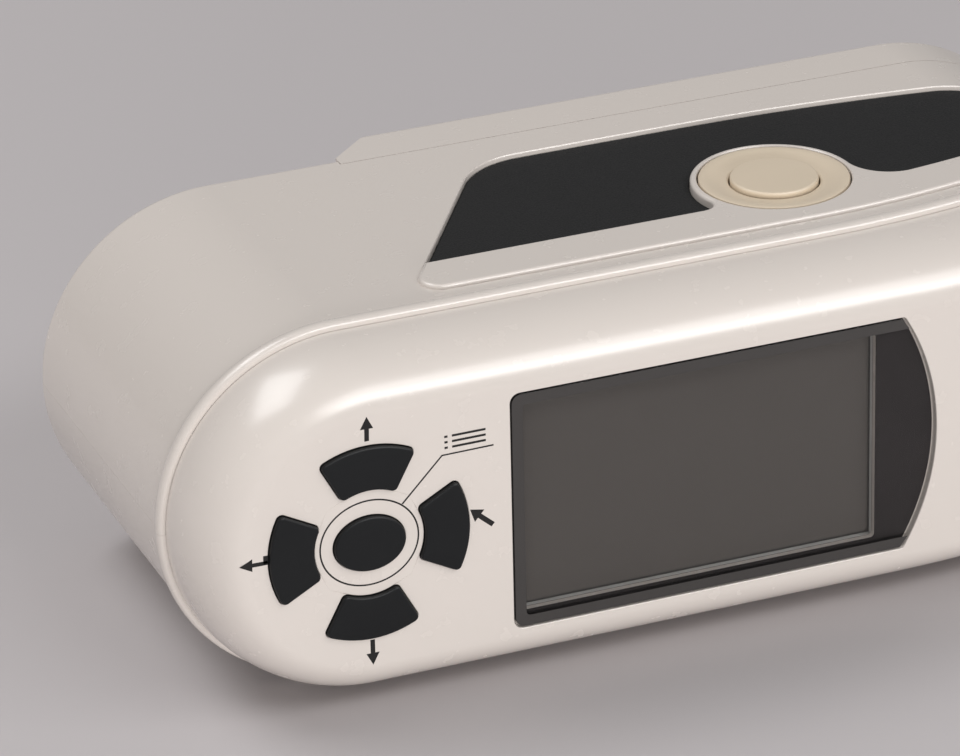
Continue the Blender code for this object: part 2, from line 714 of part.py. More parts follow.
def make_front_cover():
    outer = cover_side(0, SHOULDER_STEPS)
    inner = cover_side(COVER_WALL, SHOULDER_INNER_STEPS)
    cover = loft("front_cover", outer[::-1] + inner, strips=True)
    for index, point in enumerate(board_bosses()):
        boss = rod("cover_boss_%d" % index, point, BOSS_RADIUS, "Y", COVER_WALL - SINK, BOARD_DEPTH - PIECE_GAP)
        join(cover, boss)
    seat = prism("lens_seat", lens_outline(LENS_SIDE_GAP), "Y", -OVERRUN, LENS_SEAT_DEPTH)
    cut(cover, seat)
    cut(cover, prism("window_hole", window_outline(0), "Y", -OVERRUN, COVER_WALL + OVERRUN))
    for name, angle in key_angles().items():
        hole = prism(name + "_hole", sector_outline(angle, KEY_GAP), "Y", -OVERRUN, COVER_WALL + OVERRUN)
        cut(cover, hole)
    cut(cover, prism("key_centre_hole", centre_outline(KEY_GAP), "Y", -OVERRUN, COVER_WALL + OVERRUN))
    smooth(cover)
    paint(cover, WHITE_PLASTIC)


# Display

def make_display():
    lens = prism("display_lens", lens_outline(0), "Y", LENS_SUNK, LENS_SUNK + LENS_THICKNESS)
    paint(lens, DARK_GLASS)
    gasket = prism("display_gasket", window_outline(GASKET_WIDTH), "Y",
                   GASKET_DEPTH, GASKET_DEPTH + GASKET_THICKNESS)
    cut(gasket, prism("gasket_hole", window_outline(0), "Y",
                      GASKET_DEPTH - OVERRUN, GASKET_DEPTH + OVERRUN))
    paint(gasket, BLACK_RUBBER)
    out = WINDOW_WIDTH / 2 + PANEL_MARGIN
    outline = rectangle(WINDOW_LEFT - PANEL_MARGIN, WINDOW_RIGHT + PANEL_MARGIN, -out, out, PANEL_CORNER)
    panel = prism("lcd_panel", outline, "Y", PANEL_DEPTH, PANEL_DEPTH + PANEL_THICKNESS)
    paint(panel, GREY_PANEL)


# Keypad

def key_rings(outline):
    """A rubber key from its crowned top to the lip that holds it behind the cover."""
    levels = (
        (-KEY_EDGE - KEY_EDGE * CROWN_INSET_SHARE, -KEY_PROUD),
        (-KEY_EDGE * CROWN_INSET_SHARE, -KEY_PROUD + KEY_CROWN),
        (0, -KEY_PROUD + KEY_CROWN + KEY_EDGE),
        (0, KEY_LIP_DEPTH),
        (KEY_LIP_WIDTH, KEY_LIP_DEPTH),
        (KEY_LIP_WIDTH, KEY_LIP_DEPTH + KEY_LIP_THICKNESS),
    )
    return [[place(point, "Y", depth) for point in outline(grow)] for grow, depth in levels]


def make_keys():
    radius = (KEY_INNER_RADIUS + KEY_OUTER_RADIUS) / 2
    for name, angle in key_angles().items():
        origin = (KEYPAD_X + radius * cos(angle), 0, radius * sin(angle))
        key = loft(name, key_rings(lambda grow, a=angle: sector_outline(a, grow)), origin)
        smooth(key)
        paint(key, BLACK_RUBBER)
    centre = loft("key_centre", key_rings(centre_outline), (KEYPAD_X, 0, 0))
    smooth(centre)
    paint(centre, BLACK_RUBBER)


def make_keypad_mat():
    """The silicone sheet under the keys, standing on the board by its skirt."""
    reach = KEY_OUTER_RADIUS + KEY_LIP_WIDTH + MAT_MARGIN
    middle = (KEYPAD_X, 0)
    mat = prism("keypad_mat", circle(middle, reach), "Y", MAT_DEPTH, BOARD_DEPTH - PIECE_GAP)
    hollow = prism("mat_hollow", circle(middle, reach - MAT_SKIRT_WIDTH), "Y",
                   MAT_DEPTH + MAT_THICKNESS, BOARD_DEPTH + OVERRUN)
    cut(mat, hollow)
    smooth(mat)
    paint(mat, BLACK_RUBBER)


# Main board

def key_centres():
    radius = (KEY_INNER_RADIUS + KEY_OUTER_RADIUS) / 2
    around = [(KEYPAD_X + radius * cos(a), radius * sin(a)) for a in key_angles().values()]
    return around + [(KEYPAD_X, 0)]


def make_main_board():
    middle = ((BOARD_LEFT + BOARD_RIGHT) / 2, 0)
    outline = centred_rectangle(middle, BOARD_RIGHT - BOARD_LEFT, BOARD_WIDTH, BOARD_CORNER)
    board = prism("main_board", outline, "Y", BOARD_DEPTH, BOARD_REAR_DEPTH)
    for index, point in enumerate(key_centres()):
        dome = rod("board_dome_%d" % index, point, SWITCH_DOME_RADIUS, "Y",
                   BOARD_DEPTH - SWITCH_DOME_HEIGHT, BOARD_DEPTH + SINK)
        join(board, dome)
    chip = prism("board_processor", centred_rectangle((PROCESSOR_X, 0), PROCESSOR_SIZE, PROCESSOR_SIZE),
                 "Y", BOARD_REAR_DEPTH - SINK, BOARD_REAR_DEPTH + PROCESSOR_HEIGHT)
    join(board, chip)
    paint(board, GREEN_BOARD)
    low = BOARD_REAR_DEPTH + PIECE_GAP
    high = low + BUZZER_HEIGHT
    profile = [(0, low), (BUZZER_RADIUS, low), (BUZZER_RADIUS, high), (BUZZER_HOLE_RADIUS, high),
               (BUZZER_HOLE_RADIUS, high - BUZZER_HOLE_DEPTH), (0, high - BUZZER_HOLE_DEPTH)]
    buzzer = turned("buzzer", profile, (BUZZER_X, 0), "Y")
    smooth(buzzer)
    paint(buzzer, BLACK_PLASTIC)


# Side strip, collar and grip outlines, in the X and Y of the side

def slant_point(depth):
    """Where the slanted line along the grip's keypad end crosses a depth."""
    return GRIP_CORNER_X + (depth - STRIP_REAR_DEPTH) / tan(GRIP_SLANT)


def strip_rear(x):
    return STRIP_REAR_DEPTH + fall(x, GRIP_SWEEP_START, RIM_SWEEP_RADIUS)


def grip_rear(x):
    return GRIP_REAR_DEPTH - fall(x, GRIP_FALL_START, GRIP_FALL_RADIUS)


def fillet_centre(radius, side):
    """Centre of the fillet between the strip and the collar, on one side of the button."""
    x = BUTTON_X
    depth = STRIP_REAR_DEPTH + radius
    for _ in range(ARC_STEPS):
        depth = strip_rear(x) + radius
        x = BUTTON_X + side * sqrt((COLLAR_RADIUS + radius) ** 2 - (depth - BUTTON_DEPTH) ** 2)
    return x, depth


def arc(centre, radius, start, end, steps):
    points = []
    for step in range(steps + 1):
        angle = start + (end - start) * step / steps
        points.append((centre[0] + radius * cos(angle), centre[1] + radius * sin(angle)))
    return points


def collar_edge(margin):
    """The edge that the strip shares with the grip round the button, keypad side first."""
    button = (BUTTON_X, BUTTON_DEPTH)
    near = fillet_centre(COLLAR_FRONT_FILLET, -1)
    far = fillet_centre(COLLAR_NOSE_FILLET, 1)
    to_near = atan2(near[1] - BUTTON_DEPTH, near[0] - BUTTON_X)
    to_far = atan2(far[1] - BUTTON_DEPTH, far[0] - BUTTON_X)
    start = to_near % (2 * pi)
    points = arc(near, COLLAR_FRONT_FILLET - margin, -pi / 2, start - pi, EDGE_STEPS)
    points += arc(button, COLLAR_RADIUS + margin, start, to_far, TURN_STEPS // 2)[1:]
    points += arc(far, COLLAR_NOSE_FILLET - margin, pi + to_far, 3 * pi / 2, EDGE_STEPS + 2)[1:]
    return points


def straight_edge(edge, left, right, margin, steps):
    points = []
    for step in range(steps + 1):
        x = left + (right - left) * step / steps
        points.append((x, edge(x) + margin))
    return points


def tip(front, rear, x, length):
    """A half ellipse that closes a band at its measuring end."""
    middle = (front + rear) / 2
    half = (rear - front) / 2
    points = []
    for step in range(1, ARC_STEPS // 2):
        angle = -pi / 2 + pi * step / (ARC_STEPS // 2)
        points.append((x + length * cos(angle), middle + half * sin(angle)))
    return points


def strip_front(x):
    return STRIP_FRONT_DEPTH + rim_sweep(x)


def strip_outline(collar):
    """The raised strip, with the button's collar on the upper side."""
    t = STRIP_END_RADIUS / tan(GRIP_SLANT / 2)
    bottom = slant_point(STRIP_FRONT_DEPTH)
    centre = (bottom + t, STRIP_FRONT_DEPTH + STRIP_END_RADIUS)
    points = arc(centre, STRIP_END_RADIUS, pi / 2 + GRIP_SLANT, 3 * pi / 2, ARC_STEPS // 2)
    end = STRIP_STRAIGHT_END
    points.append((RIM_SWEEP_START, STRIP_FRONT_DEPTH))
    points += straight_edge(strip_front, RIM_SWEEP_START, end, 0, SWEEP_STEPS)[1:]
    points += tip(strip_front(end), strip_rear(end), end, STRIP_TIP_LENGTH)
    if collar:
        far = fillet_centre(COLLAR_NOSE_FILLET, 1)
        points += straight_edge(strip_rear, end, far[0], 0, SWEEP_STEPS)[:-1]
        points += collar_edge(0)[::-1]
    else:
        points += straight_edge(strip_rear, end, GRIP_SWEEP_START, 0, SWEEP_STEPS)
    points.append((GRIP_CORNER_X, STRIP_REAR_DEPTH))
    return points


def grip_outline(margin, collar):
    """The grip insert, drawn in by a margin from the edge of its recess."""
    corner = GRIP_CORNER_X + margin * (1 + cos(GRIP_SLANT)) / sin(GRIP_SLANT)
    end = GRIP_STRAIGHT_END
    points = [(corner, STRIP_REAR_DEPTH + margin)]
    if collar:
        points += collar_edge(margin)
        start = points[-1][0]
    else:
        start = GRIP_SWEEP_START
        points.append((start, STRIP_REAR_DEPTH + margin))
    points += straight_edge(strip_rear, start, end, margin, SWEEP_STEPS)[1:]
    points += tip(strip_rear(end) + margin, grip_rear(end) - margin, end, GRIP_TIP_LENGTH - margin)
    points += straight_edge(grip_rear, end, GRIP_FALL_START, -margin, SWEEP_STEPS)
    depth = GRIP_REAR_DEPTH - GRIP_CORNER_RADIUS
    centre = (slant_point(depth) + GRIP_CORNER_RADIUS / sin(GRIP_SLANT), depth)
    radius = GRIP_CORNER_RADIUS - margin
    points += arc(centre, radius, pi / 2, pi / 2 + GRIP_SLANT, ARC_STEPS // 2)
    return points


def side_patch(name, outline, outer_inset, inner_inset, side):
    """A piece of the case wall that follows its curve, cut to an outline seen from the side."""
    patch = case_band(name, outer_inset, inner_inset)
    low = SHELL_WALL * side
    high = (CASE_RADIUS + OVERRUN) * side
    return keep_inside(patch, prism(name + "_outline", outline, "Z", low, high))


# Side shells

def shell_rings():
    """The whole case wall behind the seam: outer skin from the rear, then inner skin from the front."""
    rear_centre = SHELL_REAR_DEPTH - SHELL_REAR_RADIUS
    outer = []
    for step in range(EDGE_STEPS + 1):
        angle = pi / 2 * step / EDGE_STEPS
        inset = BEAD_PROUD + SHELL_REAR_RADIUS * (1 - sin(angle))
        outer.append(case_ring(inset, rear_centre + SHELL_REAR_RADIUS * cos(angle)))
    front = SEAM_DEPTH + PIECE_GAP / 2
    middle = front + BEAD_WIDTH / 2
    for step in range(EDGE_STEPS + 1):
        angle = pi / 2 - pi * step / EDGE_STEPS
        inset = BEAD_PROUD * (1 - cos(angle))
        outer.append(case_ring(inset, middle + BEAD_WIDTH / 2 * sin(angle), 1.0))
    rear = SHELL_REAR_DEPTH - SHELL_REAR_WALL
    inner = [case_ring(SHELL_INSET, front, 1.0), case_ring(SHELL_INSET, rear)]
    return outer + inner


def half_space(name, side):
    """All that lies on the other side of the parting plane."""
    near = PIECE_GAP / 2 * side
    far = -(CASE_RADIUS + OVERRUN) * side
    outline = rectangle(-OVERRUN, CASE_LENGTH + OVERRUN, 0, BASE_REAR_DEPTH + OVERRUN)
    return prism(name, outline, "Z", near, far)


def rear_opening(name):
    """The way into the case behind the platform, with a rabbet in the side walls."""
    inset = SHELL_INSET - BASE_RABBET
    front = SHELL_REAR_DEPTH - SHELL_REAR_WALL - OVERRUN
    rear = BASE_SEAM_DEPTH + OVERRUN
    opening = loft(name + "_rear_opening", [case_ring(inset, front), case_ring(inset, rear)])
    limit = rectangle(BASE_LEFT + BASE_WALL, CASE_LENGTH, front - OVERRUN, rear + OVERRUN)
    return keep_inside(opening, prism(name + "_rear_limit", limit, "Z", -CASE_RADIUS, CASE_RADIUS))


def make_shell(name, side):
    shell = loft(name, shell_rings(), strips=True)
    base_space = prism(name + "_base_space",
                       rectangle(BASE_LEFT, CASE_LENGTH + OVERRUN, BASE_SEAM_DEPTH, BASE_REAR_DEPTH),
                       "Z", -CASE_RADIUS - OVERRUN, CASE_RADIUS + OVERRUN)
    cut(shell, base_space)
    cut(shell, rear_opening(name))
    cut(shell, half_space(name + "_other_half", side))
    collar = side > 0
    join(shell, side_patch(name + "_strip", strip_outline(collar), 0, BEAD_PROUD + SINK, side))
    for index, (x, depth) in enumerate(CASE_SCREWS):
        boss = rod("%s_case_boss_%d" % (name, index), (x, depth), SCREW_BOSS_RADIUS, "Z",
                   PIECE_GAP / 2 * side, (CASE_RADIUS - GRIP_FLOOR_INSET - SINK) * side)
        join(shell, boss)
    for index, (x, out) in enumerate(BASE_SCREWS):
        if out * side > 0:
            boss = rod("%s_base_boss_%d" % (name, index), (x, out), SCREW_BOSS_RADIUS, "Y",
                       BASE_SEAM_DEPTH - SCREW_BOSS_LENGTH, BASE_SEAM_DEPTH - SINK)
            join(shell, boss)
    cut(shell, side_patch(name + "_recess", grip_outline(0, collar), -BEAD_PROUD, GRIP_FLOOR_INSET, side))
    return shell


def cut_battery_space(shell, side):
    """The opening behind which the battery tray sits, and the door's seat round it."""
    name = shell.name
    low = SHELL_REAR_DEPTH - SHELL_REAR_WALL - OVERRUN
    high = SHELL_REAR_DEPTH + OVERRUN
    hole = prism(name + "_battery_hole", tray_outline(PIECE_GAP), "Y", low, high)
    cut(shell, hole)
    seat = prism(name + "_door_seat", door_outline(PIECE_GAP), "Y", DOOR_DEPTH - PIECE_GAP, high)
    cut(shell, seat)
    pin_hole = rod(name + "_pin_hole", (HINGE_X, HINGE_DEPTH), HINGE_PIN_RADIUS + PIECE_GAP, "Z",
                   -HINGE_REACH - PIECE_GAP, HINGE_REACH + PIECE_GAP)
    cut(shell, pin_hole)


def make_upper_shell():
    shell = make_shell("upper_shell", 1)
    centre = (BUTTON_X, BUTTON_DEPTH)
    hole = turned("button_hole", [
        (0, SIDE_WALL_IN - OVERRUN),
        (RING_RADIUS - RING_LIP, SIDE_WALL_IN - OVERRUN),
        (RING_RADIUS - RING_LIP, RING_SEAT),
        (RING_RADIUS + PIECE_GAP, RING_SEAT),
        (RING_RADIUS + PIECE_GAP, CASE_RADIUS + OVERRUN),
        (0, CASE_RADIUS + OVERRUN),
    ], centre, "Z")
    cut(shell, hole)
    for index, x in enumerate(switch_posts()):
        post = rod("switch_post_%d" % index, (x, BUTTON_DEPTH), SWITCH_POST_RADIUS, "Z",
                   SWITCH_BOARD_TOP + PIECE_GAP, SIDE_WALL_IN + SINK)
        join(shell, post)
    for index, (x, depth) in enumerate(CASE_SCREWS):
        pilot = rod("case_pilot_%d" % index, (x, depth), SCREW_SHANK_RADIUS + PIECE_GAP, "Z",
                    -OVERRUN, SCREW_SHANK_LENGTH - CASE_SCREW_HEAD_OUT + OVERRUN)
        cut(shell, pilot)
    finish_shell(shell, 1)


def make_lower_shell():
    shell = make_shell("lower_shell", -1)
    for index, (x, depth) in enumerate(CASE_SCREWS):
        head = CASE_SCREW_HEAD_OUT
        well = turned("case_well_%d" % index, [
            (0, OVERRUN),
            (SCREW_SHANK_RADIUS + PIECE_GAP, OVERRUN),
            (SCREW_SHANK_RADIUS + PIECE_GAP, -head),
            (SCREW_HEAD_RADIUS + PIECE_GAP, -head),
            (SCREW_HEAD_RADIUS + PIECE_GAP, -CASE_RADIUS),
            (0, -CASE_RADIUS),
        ], (x, depth), "Z", SMALL_TURN_STEPS)
        cut(shell, well)
    slot = prism("slider_slot", centred_rectangle((SLIDER_X, SLIDER_DEPTH),
                 SLIDER_LENGTH + SLIDER_TRAVEL + 2 * PIECE_GAP, SLIDER_WIDTH + 2 * PIECE_GAP),
                 "Z", -SIDE_WALL_IN + OVERRUN, -SIDE_WALL_OUT - OVERRUN)
    cut(shell, slot)
    opening = prism("socket_hole", centred_rectangle((SOCKET_X, SOCKET_DEPTH),
                    SOCKET_WIDTH + 2 * PIECE_GAP, SOCKET_HEIGHT + 2 * PIECE_GAP, SOCKET_CORNER),
                    "Z", -SIDE_WALL_IN + OVERRUN, -SIDE_WALL_OUT - OVERRUN)
    cut(shell, opening)
    for index, (x, depth) in enumerate(side_board_posts()):
        post = rod("side_post_%d" % index, (x, depth), SWITCH_POST_RADIUS, "Z",
                   -SIDE_BOARD_OUT - PIECE_GAP, -SIDE_WALL_IN - SINK)
        join(shell, post)
    finish_shell(shell, -1)


def finish_shell(shell, side):
    for index, (x, out) in enumerate(BASE_SCREWS):
        if out * side > 0:
            pilot = rod("%s_base_pilot_%d" % (shell.name, index), (x, out), SCREW_SHANK_RADIUS + PIECE_GAP,
                        "Y", BASE_SEAM_DEPTH - SCREW_SHANK_LENGTH, BASE_SEAM_DEPTH + OVERRUN)
            cut(shell, pilot)
    cut_battery_space(shell, side)
    smooth(shell)
    paint(shell, WHITE_PLASTIC)


def make_grips():
    for name, side in (("upper_grip", 1), ("lower_grip", -1)):
        grip = side_patch(name, grip_outline(PIECE_GAP, side > 0), GRIP_INSET, GRIP_INSET + GRIP_THICKNESS, side)
        smooth(grip)
        paint(grip, BLACK_RUBBER)


# Measuring button and its switch

def make_button():
    centre = (BUTTON_X, BUTTON_DEPTH)
    bottom = RING_TOP - RING_THICKNESS
    bore = CAP_RADIUS + PIECE_GAP
    ring = turned("button_ring", [
        (RING_RADIUS, bottom),
        (RING_RADIUS, RING_TOP - RING_LIP / 2),
        (RING_RADIUS - RING_LIP / 2, RING_TOP),
        (RING_RADIUS - RING_LIP, RING_TOP - RING_DISH / 2),
        (bore + RING_LIP, RING_TOP - RING_DISH),
        (bore, RING_TOP - RING_DISH),
        (bore, bottom),
    ], centre, "Z", closed=True)
    smooth(ring)
    paint(ring, CREAM_PLASTIC)
    lip = CAP_RADIUS + CAP_LIP_WIDTH
    low = CAP_LIP_TOP - CAP_LIP_THICKNESS
    button = turned("measure_button", [
        (0, CAP_TOP),
        (CAP_RADIUS - CAP_EDGE, CAP_TOP),
        (CAP_RADIUS, CAP_TOP - CAP_EDGE),
        (CAP_RADIUS, CAP_LIP_TOP),
        (lip, CAP_LIP_TOP),
        (lip, low),
        (STEM_RADIUS, low),
        (STEM_RADIUS, STEM_END),
        (0, STEM_END),
    ], centre, "Z", origin=(BUTTON_X, BUTTON_DEPTH, CAP_TOP))
    smooth(button)
    paint(button, CREAM_PLASTIC)


def switch_posts():
    reach = SWITCH_BOARD_LENGTH / 2 - SWITCH_POST_MARGIN
    return (BUTTON_X - reach, BUTTON_X + reach)


def make_button_switch():
    centre = (BUTTON_X, BUTTON_DEPTH)
    top = STEM_END - PIECE_GAP
    plunger = rod("switch_plunger", centre, PLUNGER_RADIUS, "Z", top - PLUNGER_LENGTH, top)
    paint(plunger, BLACK_PLASTIC)
    body = prism("button_switch", centred_rectangle(centre, SWITCH_SIZE, SWITCH_SIZE, LENS_CORNER),
                 "Z", SWITCH_TOP - SWITCH_HEIGHT, SWITCH_TOP)
    depth = PLUNGER_LENGTH - PLUNGER_PROUD + BUTTON_TRAVEL + PIECE_GAP
    well = rod("plunger_well", centre, PLUNGER_RADIUS + PIECE_GAP, "Z", SWITCH_TOP - depth, SWITCH_TOP + OVERRUN)
    cut(body, well)
    paint(body, BLACK_PLASTIC)
    board = prism("switch_board", centred_rectangle(centre, SWITCH_BOARD_LENGTH, SWITCH_BOARD_WIDTH, LENS_CORNER),
                  "Z", SWITCH_BOARD_TOP - BOARD_THICKNESS, SWITCH_BOARD_TOP)
    paint(board, GREEN_BOARD)


# Rear platform

def ramp_outline(wall):
    """Side view of the platform: the ramp at the keypad end and the flat run behind it."""
    slope = atan2(BASE_REAR_DEPTH - SHELL_REAR_DEPTH, RAMP_LENGTH)
    left = BASE_LEFT + PIECE_GAP + wall
    rear = BASE_REAR_DEPTH - wall
    top = BASE_LEFT + PIECE_GAP + RAMP_LENGTH + wall * tan(slope / 2)
    foot = rear - (top - left) * tan(slope)
    right = CASE_LENGTH + OVERRUN
    far = rear + OVERRUN if wall == 0 else rear
    corners = [(left, BASE_SEAM_DEPTH - OVERRUN, 0), (left, foot, 0), (top, rear, RAMP_TOP_RADIUS)]
    if wall == 0:
        corners += [(NOSE_X, rear, 0), (NOSE_X, far, 0)]
    else:
        corners += [(NOSE_X, rear, 0)]
    corners += [(right, far, 0), (right, BASE_SEAM_DEPTH - OVERRUN, 0)]
    return rounded(corners)


def base_side(inset, front, rear, radius):
    """Rings from the open front edge to the rounded rear edge."""
    rings = [case_ring(inset, front)]
    for step in range(EDGE_STEPS + 1):
        angle = pi / 2 * step / EDGE_STEPS
        rings.append(case_ring(inset + radius * (1 - cos(angle)), rear - radius * (1 - sin(angle))))
    return rings


def make_rear_base():
    front = BASE_SEAM_DEPTH + PIECE_GAP
    base = loft("rear_base", base_side(BASE_INSET, front, BASE_REAR_DEPTH, BASE_EDGE_RADIUS), strips=True)
    reach = CASE_RADIUS + OVERRUN
    keep_inside(base, prism("ramp_block", ramp_outline(0), "Z", -reach, reach))
    hollow = loft("base_hollow", base_side(BASE_INSET + BASE_WALL, front - OVERRUN,
                  BASE_REAR_DEPTH - BASE_WALL, BASE_EDGE_RADIUS - BASE_WALL), strips=True)
    keep_inside(hollow, prism("ramp_hollow", ramp_outline(BASE_WALL), "Z", -reach, reach))
    cut(base, hollow)
    for index, point in enumerate(BASE_SCREWS):
        boss = rod("base_boss_%d" % index, point, SCREW_BOSS_RADIUS, "Y", front, BASE_REAR_DEPTH - BASE_WALL / 2)
        join(base, boss)
        well = turned("base_well_%d" % index, [
            (0, front - OVERRUN),
            (SCREW_SHANK_RADIUS + PIECE_GAP, front - OVERRUN),
            (SCREW_SHANK_RADIUS + PIECE_GAP, BASE_SCREW_SEAT),
            (SCREW_HEAD_RADIUS + PIECE_GAP, BASE_SCREW_SEAT),
            (SCREW_HEAD_RADIUS + PIECE_GAP, BASE_REAR_DEPTH + OVERRUN),
            (0, BASE_REAR_DEPTH + OVERRUN),
        ], point, "Y", SMALL_TURN_STEPS)
        cut(base, well)
    cut(base, prism("aperture_seat", circle((NOSE_X, 0), APERTURE_RING_RADIUS + PIECE_GAP), "Y",
                    BASE_REAR_DEPTH - BASE_WALL - OVERRUN, BASE_REAR_DEPTH + OVERRUN))
    smooth(base)
    paint(base, WHITE_PLASTIC)


def make_aperture_ring():
    """The black ring that rests on the sample, with its flange behind the platform's wall."""
    flange_rear = APERTURE_RING_FRONT + APERTURE_FLANGE_THICKNESS
    ring = turned("aperture_ring", [
        (APERTURE_CONE_RADIUS, APERTURE_RING_FRONT),
        (APERTURE_RING_FLANGE, APERTURE_RING_FRONT),
        (APERTURE_RING_FLANGE, flange_rear),
        (APERTURE_RING_RADIUS, flange_rear),
        (APERTURE_RING_RADIUS, APERTURE_RING_REAR - APERTURE_RING_PROUD),
        (APERTURE_RING_RADIUS - APERTURE_RING_PROUD, APERTURE_RING_REAR),
        (APERTURE_RADIUS, APERTURE_RING_REAR),
    ], (NOSE_X, 0), "Y", closed=True)
    smooth(ring)
    paint(ring, BLACK_PLASTIC)


# Integrating sphere and detector

def sphere_half(name, side, port, foot):
    """One half of the sphere block; side is 1 towards the platform and -1 towards the face."""
    profile = []
    limit = asin(port / SPHERE_RADIUS)
    for step in range(EDGE_STEPS + 1):
        angle = pi / 2 - (pi / 2 - limit) * step / EDGE_STEPS
        profile.append((SPHERE_RADIUS * sin(angle), SPHERE_RADIUS * cos(angle)))
    profile += [(port, BLOCK_LENGTH), (foot, BLOCK_LENGTH), (foot, BLOCK_LENGTH - FOOT_LENGTH),
                (LAMP_BOARD_BORE - PIECE_GAP, BLOCK_STRAIGHT),
                (BLOCK_RADIUS, BLOCK_STRAIGHT), (BLOCK_RADIUS, FLANGE_THICKNESS),
                (FLANGE_RADIUS, FLANGE_THICKNESS), (FLANGE_RADIUS, 0)]
    gap = PIECE_GAP / 2 * side
    profile[0] = (SPHERE_RADIUS, 0)
    placed = [(radius, SPHERE_DEPTH + height * side + (gap if height == 0 else 0)) for radius, height in profile]
    half = turned(name, placed, (NOSE_X, 0), "Y", closed=True)
    smooth(half)
    paint(half, WHITE_COATING)


def make_lamp_board():
    board = turned("lamp_board", [
        (LAMP_BOARD_BORE, LAMP_BOARD_DEPTH),
        (LAMP_BOARD_RADIUS, LAMP_BOARD_DEPTH),
        (LAMP_BOARD_RADIUS, LAMP_BOARD_DEPTH + BOARD_THICKNESS),
        (LAMP_BOARD_BORE, LAMP_BOARD_DEPTH + BOARD_THICKNESS),
    ], (NOSE_X, 0), "Y", closed=True)
    radius = (LAMP_BOARD_BORE + LAMP_BOARD_RADIUS) / 2
    for index, (x, z) in enumerate(circle((NOSE_X, 0), radius, LAMP_COUNT)):
        lamp = prism("lamp_%d" % index, centred_rectangle((x, z), LAMP_SIZE, LAMP_SIZE), "Y",
                     LAMP_BOARD_DEPTH - LAMP_HEIGHT, LAMP_BOARD_DEPTH + SINK)
        join(board, lamp)
    paint(board, GREEN_BOARD)


def make_detector():
    front = TUBE_DEPTH - TUBE_LENGTH
    seat = front + LENS_SEAT_LENGTH
    tube = turned("sensor_tube", [
        (TUBE_RADIUS, TUBE_DEPTH),
        (TUBE_RADIUS, front),
        (LENS_SEAT_RADIUS, front),
        (LENS_SEAT_RADIUS, seat),
        (TUBE_BORE, seat),
        (TUBE_BORE, TUBE_DEPTH),
    ], (NOSE_X, 0), "Y", closed=True)
    smooth(tube)
    paint(tube, BLACK_PLASTIC)
    rear = seat - PIECE_GAP
    edge = LENS_SEAT_RADIUS - PIECE_GAP
    bulge = FOCUS_LENS_THICKNESS - FOCUS_LENS_EDGE
    radius = (edge ** 2 + bulge ** 2) / (2 * bulge)
    profile = [(0, rear), (edge, rear)]
    for step in range(EDGE_STEPS + 1):
        angle = asin(edge / radius) * (1 - step / EDGE_STEPS)
        profile.append((radius * sin(angle), rear - FOCUS_LENS_THICKNESS + radius * (1 - cos(angle))))
    lens = turned("focus_lens", profile, (NOSE_X, 0), "Y")
    smooth(lens)
    paint(lens, CLEAR_GLASS)
    rear = SENSOR_BOARD_DEPTH
    board = prism("sensor_board", centred_rectangle((NOSE_X, 0), SENSOR_BOARD_SIZE, SENSOR_BOARD_SIZE, LENS_CORNER),
                  "Y", rear - BOARD_THICKNESS, rear)
    chip = prism("sensor_chip", centred_rectangle((NOSE_X, 0), SENSOR_SIZE, SENSOR_SIZE), "Y",
                 rear - SINK, rear + SENSOR_HEIGHT)
    join(board, chip)
    paint(board, GREEN_BOARD)


# Battery bay

def tray_outline(grow):
    out = TRAY_WIDTH / 2 + grow
    return rectangle(TRAY_LEFT - grow, TRAY_RIGHT + grow, -out, out, TRAY_CORNER + grow)


def door_outline(grow):
    """The battery cover's edge: round corners at its free end and square ones at the hinge."""
    left = TRAY_LEFT - DOOR_LIP - grow
    right = TRAY_RIGHT + grow
    out = TRAY_WIDTH / 2 + DOOR_LIP + grow
    corner = DOOR_CORNER + grow
    return rounded([(left, -out, corner), (right, -out, 0), (right, out, 0), (left, out, corner)])


def make_battery_tray():
    tray = prism("battery_tray", tray_outline(0), "Y", TRAY_FRONT_DEPTH, TRAY_REAR_DEPTH)
    cut(tray, prism("tray_hollow", tray_outline(-TRAY_WALL), "Y", TRAY_FLOOR_DEPTH, TRAY_REAR_DEPTH + OVERRUN))
    paint(tray, BLACK_PLASTIC)


def make_battery():
    left = TRAY_LEFT + TRAY_WALL + PIECE_GAP + CONTACT_THICKNESS + PIECE_GAP
    right = TRAY_RIGHT - TRAY_WALL - PIECE_GAP
    out = TRAY_WIDTH / 2 - TRAY_WALL - PIECE_GAP
    pack = prism("battery_pack", rectangle(left, right, -out, out, BATTERY_CORNER), "Y",
                 BATTERY_DEPTH, BATTERY_DEPTH + BATTERY_THICKNESS)
    paint(pack, BLUE_WRAP)
    near = TRAY_LEFT + TRAY_WALL + PIECE_GAP
    for name, out in (("battery_contact_plus", CONTACT_SPACING / 2), ("battery_contact_minus", -CONTACT_SPACING / 2)):
        outline = centred_rectangle((near + CONTACT_THICKNESS / 2, out), CONTACT_THICKNESS, CONTACT_WIDTH)
        contact = prism(name, outline, "Y", BATTERY_DEPTH, BATTERY_DEPTH + CONTACT_HEIGHT)
        paint(contact, BRASS)


